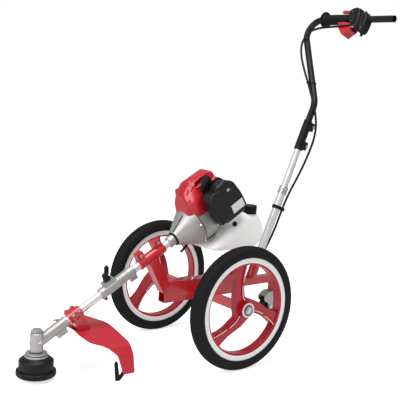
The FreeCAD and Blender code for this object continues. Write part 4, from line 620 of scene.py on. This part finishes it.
# Engine's other parts. A cast cylinder with its piston, a steel crankshaft and muffler, and black moulded parts: the
# starter and its handle on the far side, and the choke lever. The carburettor behind the filter is coated black.
black_coat = finish("black powder coat", (0.009, 0.009, 0.010), 0.34, grain=1400, depth=0.00005, specular=0.25)
dress(cast_metal, cast_edge, "cylinder", "piston")
dress(dark_steel, steel_edge, "crankshaft", "muffler")
dress(black_plastic, moulded_edge, "starter_housing", "starter_handle", "choke_lever")
coated_edge = 0.0006
dress(black_coat, coated_edge, "carburettor")


# Throttle housing. Two black half shells screwed together round the bar, with cooling ribs on the outer half,
# a second clamp half towards the bar's end, and a short peg below where the wires leave. The pole frame runs up
# the handle pole and the bar frame along the grip bar.
def side_facets(outline, left, right, bevel):
    """Facets of a block whose outline is given as (down, along) and that reaches from left to right across."""
    facets = []
    middle = Vector((sum(p[0] for p in outline), sum(p[1] for p in outline))) / len(outline)
    for place, way in ((left, -1), (right, 1)):
        facets.append(((place, middle.x, middle.y), (way, 0, 0)))
    for one, two in zip(outline, outline[1:] + outline[:1]):
        side = Vector((two[1] - one[1], one[0] - two[0])).normalized()
        if side.dot(Vector(one) - middle) < 0:
            side = -side
        facets.append(((0, one[0], one[1]), (0, side.x, side.y)))
        for place, way in ((left, -1), (right, 1)):
            facets.append(((place, one[0] - side.x * bevel, one[1] - side.y * bevel), (way, side.x, side.y)))
    return facets


pole_foot, pole_lean, bar_height = -0.1438, -22.3, 1.240
pole_frame = Matrix.Translation((machine_middle + pole_foot, 0, 0)) @ Matrix.Rotation(
    math.radians(pole_lean), 4, "Y")
bar_frame = pole_frame @ Matrix.Translation((0, 0, bar_height)) @ Matrix.Rotation(math.radians(-90), 4, "X")
shell_outline = ((-27, 23), (-36, 34), (-39, 50), (-34, 72), (-8, 80), (30, 84), (46, 82), (38, 64), (19, 38), (8, 24))
housing = moulding("throttle_housing_shells", side_facets(shell_outline, -22, 22, 4), (0, 4, 52), 1.1, black_plastic,
                   "handle", bar_frame,
                   [((24, -30, 44), (24, 24, 60), 1.2, 1.8, 1.5), ((-24, -30, 44), (-24, 24, 60), 1.2, 1.8, 1.5),
                    ((0, -42, 44), (0, -40, 62), 8, 2.5, 2)])
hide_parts("throttle_housing")
clamp_outline = ((-23, 77), (-24, 98), (-6, 114), (26, 116), (50, 110), (56, 100), (50, 84), (20, 77))
moulding("throttle_housing_clamp", side_facets(clamp_outline, -19, 19, 5), (0, 8, 94), 1.2, black_plastic, "handle",
         bar_frame,
         [((20, -24, 92), (20, 46, 104), 3, 3, 2), ((-20, -24, 92), (-20, 46, 104), 3, 3, 2)])
cooling_ribs = [(Vector((0, -2, along)), Matrix.Rotation(math.radians(8), 3, "X")) for along in (60, 67, 74)]
bar_piece("throttle_housing_ribs", cooling_ribs, 46.5, 62, 2, black_plastic, "handle", bar_frame)
bar_piece("throttle_housing_bosses",
          [(Vector((0, -38, 47)), Matrix.Identity(3)), (Vector((0, -37, 60)), Matrix.Identity(3))], 26, 10, 7,
          black_plastic, "handle", bar_frame, edge=2, bits=3)
screw_places = ((21.4, -22, 38), (21.4, 14, 46), (21.4, 34, 70), (18, -16, 98), (18, 40, 104))
hex_screws("throttle_housing_screws", [(place, (1, 0, 0)) for place in screw_places], 5, 2, dark_steel, "handle",
           bar_frame)
peg_points, peg_faces = turned_grid([(0.05, 0), (6, 0), (6, 14), (4.8, 15), (4.8, 24), (3.6, 25), (0.05, 25)], 24)
shape("wire_peg", peg_points, peg_faces, black_rubber, "handle",
      bar_frame @ Matrix.Translation((0.006, 0.044, 0.103)) @ Matrix.Rotation(math.radians(-80), 4, "X"), 40)


# Trigger. A hollow red lever below the grip: two cheeks that pass either side of the grip as it is squeezed,
# joined by a curved finger plate, on a steel pin through the housing. The lock lever and the stop switch are red too.
red_satin = finish("red satin moulding", (0.48, 0.012, 0.024), 0.42, drift=0.12, grain=1500, depth=0.00003)
cheek = [(20, -12), (30, -10), (42, -2), (54, 9), (65, 20), (69, 27), (65, 33), (56, 41), (47, 54), (38, 60),
         (28, 54), (22, 40), (19, 14)]
trigger_mesh = bmesh.new()
cheek_outside, cheek_inside, plate_half, plate_thick = 19.6, 17.4, 17.3, 2.4
for outer, inner in ((cheek_outside, cheek_inside), (-cheek_outside, -cheek_inside)):
    rings = []
    for across_mm in (outer, inner):
        rings.append([trigger_mesh.verts.new((across_mm, down, along)) for down, along in cheek])
    for loop in rings:
        trigger_mesh.faces.new(loop)
    for i in range(len(cheek)):
        j = (i + 1) % len(cheek)
        trigger_mesh.faces.new((rings[0][i], rings[0][j], rings[1][j], rings[1][i]))
middle_down, middle_along = 38, 26
plate = []
for i in range(1, 9):
    down, along = cheek[i]
    reach = Vector((middle_down - down, middle_along - along)).normalized() * plate_thick
    plate.append([trigger_mesh.verts.new((x, d, a)) for x in (-plate_half, plate_half)
                  for d, a in ((down, along), (down + reach.x, along + reach.y))])
for one, two in zip(plate, plate[1:]):
    for a, b in ((0, 2), (2, 3), (3, 1), (1, 0)):
        trigger_mesh.faces.new((one[a], one[b], two[b], two[a]))
for end in (plate[0], plate[-1]):
    trigger_mesh.faces.new((end[0], end[2], end[3], end[1]))
trigger_points = [v.co.copy() for v in trigger_mesh.verts]
trigger_mesh.verts.index_update()
trigger_faces = [tuple(v.index for v in face.verts) for face in trigger_mesh.faces]
trigger_mesh.free()
trigger_piece = shape("trigger_shell", trigger_points, trigger_faces, red_satin, "trigger", bar_frame,
                      40)
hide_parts("trigger")
dress(red_satin, moulded_edge, "lock_lever", "stop_switch")


# Drive line and coupler knob. Two drawn aluminium tubes round the steel drive shaft, joined in a cast coupler.
# A black moulded wing knob, a round hub with two raised wings, tightens its clamp screw beside a locking pin.
bright_tube = finish(
    "drawn aluminium", (0.80, 0.80, 0.81), 0.38, metal=0.65, drift=0.1, drift_scale=40, grain=160, depth=0.00002,
    stretch=(1, 8, 1))
tube_edge = 0.0005
dress(bright_tube, tube_edge, "lower_shaft_tube", "upper_shaft_tube")
dress(dark_steel, steel_edge, "upper_drive_shaft", "lower_drive_shaft")
dress(cast_metal, cast_edge, "coupler_body")
dress(black_plastic, moulded_edge, "coupler_pin")
knob_along = 287
hub_profile = [(0.05, 0), (10, 0), (12, 2), (12, 9), (10, 12), (11, 19), (8, 23), (0.05, 24)]
hub_points, hub_faces = turned_grid(hub_profile, 32)
hub_seat = shaft_frame @ Matrix.Translation((0.0276, 0, knob_along / 1000)) @ Matrix.Rotation(
    math.radians(90), 4, "Y")
hub = shape("coupler_knob_hub", hub_points, hub_faces, black_plastic, "coupler_knob",
            hub_seat, 40)
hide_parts("coupler_knob")
wing_blades = []
for turn_at in (35, 215):
    spun = Matrix.Rotation(math.radians(turn_at), 3, "X")
    wing_blades.append((Vector((47, 0, knob_along)) + spun @ Vector((0, 0, 15)),
                        spun @ Matrix.Rotation(math.radians(36), 3, "Y")))
bar_piece("coupler_knob_wings", wing_blades, 16, 13, 42, black_plastic, "coupler_knob",
          shaft_frame, edge=4, bits=3)


# Small fittings. A bent rubber drain stub pushed into the underside of the clutch housing, and the fuel line's
# rubber grommet, pressed into a hole in the tank's near side.
stub_line = spots(shaft_frame, (-34, 10, 599), (-40, 10, 590.4), (-44.2, 10, 581.6), (-47.8, 10, 566.2),
                  (-49.9, 10, 555))
stub = smooth_tube("drain_stub", stub_line, 0.0042, (1.2, 1.2, 1, 1), 3, 8)
stub.data.materials.append(black_rubber)
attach(stub, "frame")
grommet_points, grommet_faces = turned_grid([(0.05, -3), (7.5, -3), (9, 0), (8, 3), (4, 4), (3.2, 9), (0.05, 9)], 28)
shape("tank_grommet", grommet_points, grommet_faces, black_rubber, "frame",
      shaft_frame @ Matrix.Translation((-0.051, 0.078, 0.746)) @ Matrix.Rotation(math.radians(-90), 4, "X"), 40)


# Fuel tank. Blow-moulded white plastic that lets light through, with wide round edges, a threaded neck on top for
# the black cap. Its plastic glows faintly white, a painted glow that stands in for the light it lets through.
glowing_white_tank = finish("white moulding with painted glow", (0.84, 0.84, 0.82), 0.45, drift=0.05, grain=700, depth=0.00005)
tank_glow_shader = glowing_white_tank.node_tree.nodes["Principled BSDF"]
# Painted light: a faint white glow on the tank and its neck, which lifts the shade that falls on them.
tank_glow_shader.inputs["Emission Color"].default_value = (0.9, 0.9, 0.88, 1)
tank_glow_shader.inputs["Emission Strength"].default_value = 0.14
machine_frame = Matrix.Translation((machine_middle, 0, 0))
tank_half, tank_chamfer = 85, 15
tank_outline = ((5, 358), (-134, 478), (-170, 478), (-209, 436), (-215, 424), (-215, 384), (-207, 366), (-185, 348),
                (-20, 345), (4, 350))
tank_facets = [((-100, tank_half, 400), (0, 1, 0)), ((-100, -tank_half, 400), (0, -1, 0))]
tank_middle = Vector((-118, 0, 408))
for (x_one, z_one), (x_two, z_two) in zip(tank_outline, tank_outline[1:] + tank_outline[:1]):
    way = Vector((z_two - z_one, 0, x_one - x_two)).normalized()
    if way.dot(Vector((x_one, 0, z_one)) - tank_middle) < 0:
        way = -way
    tank_facets.append(((x_one, 0, z_one), tuple(way)))
    for side in (1, -1):
        tank_facets.append(((x_one - way.x * tank_chamfer, side * tank_half, z_one - way.z * tank_chamfer),
                            (way.x, side, way.z)))
tank = moulding("fuel_tank_moulding", tank_facets, tank_middle, 4.5, glowing_white_tank, "frame",
                machine_frame)
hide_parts("fuel_tank")
neck_points, neck_faces = turned_grid([(12, 430), (18, 430), (18, 456), (20, 457), (20, 460), (18, 461), (18, 478),
                                       (12, 478)], 40)
shape("tank_neck", neck_points, neck_faces, glowing_white_tank, "frame",
      machine_frame @ Matrix.Translation((-0.152, 0.062, 0)), 40)
dress(black_plastic, moulded_edge, "tank_cap")


# Handle. A bright upper pole slides in a bright lower one and is held by a plated collar with a black cable clip.
# A bent black tube is clamped to its top by two bolts and ends in a rubber grip.
dress(bright_tube, tube_edge, "lower_pole", "upper_pole")
dress(zinc_steel, steel_edge, "handle_fasteners")
dress(zinc_steel, tube_edge, "pole_collar")
dress(black_plastic, moulded_edge, "bar_clamp")
dress(black_coat, 0, "handlebar")
dress(black_rubber, rubber_edge, "grip")
clip_top = 0.495
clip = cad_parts["pole_collar"].data
clip.materials.append(black_plastic)
for face in clip.polygons:
    face.material_index = 1 if face.center.z < clip_top else 0


# Cable tie. A black nylon strap pulled tight round the handle tube and the control cable beside it, so that the
# cable follows the tube's bend.
tie_points, tie_faces = [], []
for centre, bore in (((0, -46.9, 980), 12.1), ((18.4, -53.5, 980), 4.4)):
    turn = Vector((0, -0.65, 1)).to_track_quat("Z", "Y").to_matrix()
    ring, ring_faces = turned_grid([(bore, -3), (bore + 1.8, -3), (bore + 1.8, 3), (bore, 3)], 32)
    first = len(tie_points)
    tie_points += [Vector(centre) + turn @ Vector(p) for p in ring]
    tie_faces += [tuple(first + k for k in face) for face in ring_faces]
shape("cable_tie", tie_points, tie_faces, black_plastic, "handle", pole_frame, 40)


# Trimmer head. An upright cast gear case with a hexagon cap and two clamp screws turns a black moulded head with its
# spool and bump knob. A red moulded guard hangs behind it on a red steel clamp and carries the line cutter.
head_frame = Matrix.Translation((machine_middle + head_ahead, 0, 0))
hex_screws("gear_case_cap", [((0, 0, 147.4), (0, 0, 1))], 26, 6, cast_metal, "frame", head_frame)
hex_screws("gear_case_screws", [((0, 19.7, 118), (0, 1, 0)), ((19.7, 0, 112), (1, 0, 0))], 8, 4, zinc_steel,
           "frame", head_frame)
dress(cast_metal, cast_edge, "gearbox_housing", "arbor_flange")
dress(dark_steel, steel_edge, "output_shaft")
dress(black_plastic, moulded_edge, "head_housing", "line_spool", "bump_knob", "line_cutter")
dress(red_satin, moulded_edge, "guard_shield")
dress(red_paint, paint_edge, "guard_clamp")


# Control cable. A smooth black plastic sheath that runs from the throttle housing down the handle, held by a tie and
# the clip, and round behind the tank to the carburettor. It is one smooth tube.
cable_line = (
    spots(bar_frame, (16, 28, 66), (24, 37, 24), (24, 40, -30), (19, 41, -95))
    + spots(pole_frame, (19, -143, 1186), (20, -164, 1140), (20, -140, 1085), (19, -98, 1030), (18, -50, 975),
            (19, -8, 925), (14, 16, 892), (-2, 26, 858), (-16, 33, 822), (-20, 40, 770), (-19, 38, 700),
            (-19, 28, 630), (-19, 15, 570), (-19, 10, 505), (-20, 10, 440), (-20, 4, 380))
    + spots(machine_frame, (-292, -6, 305), (-282, -40, 268), (-248, -80, 278), (-212, -106, 318),
            (-182, -110, 372), (-155, -108, 430), (-128, -88, 484), (-110, -52, 528), (-98, -8, 560), (-86, 28, 576))
    + spots(shaft_frame, (68, 46, 800), (68, 46, 774.3)))
cable_radius = 0.004
cable = smooth_tube("throttle_cable", cable_line, cable_radius)
cable.data.materials.append(black_plastic)
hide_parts("control_cable")
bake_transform(cable)
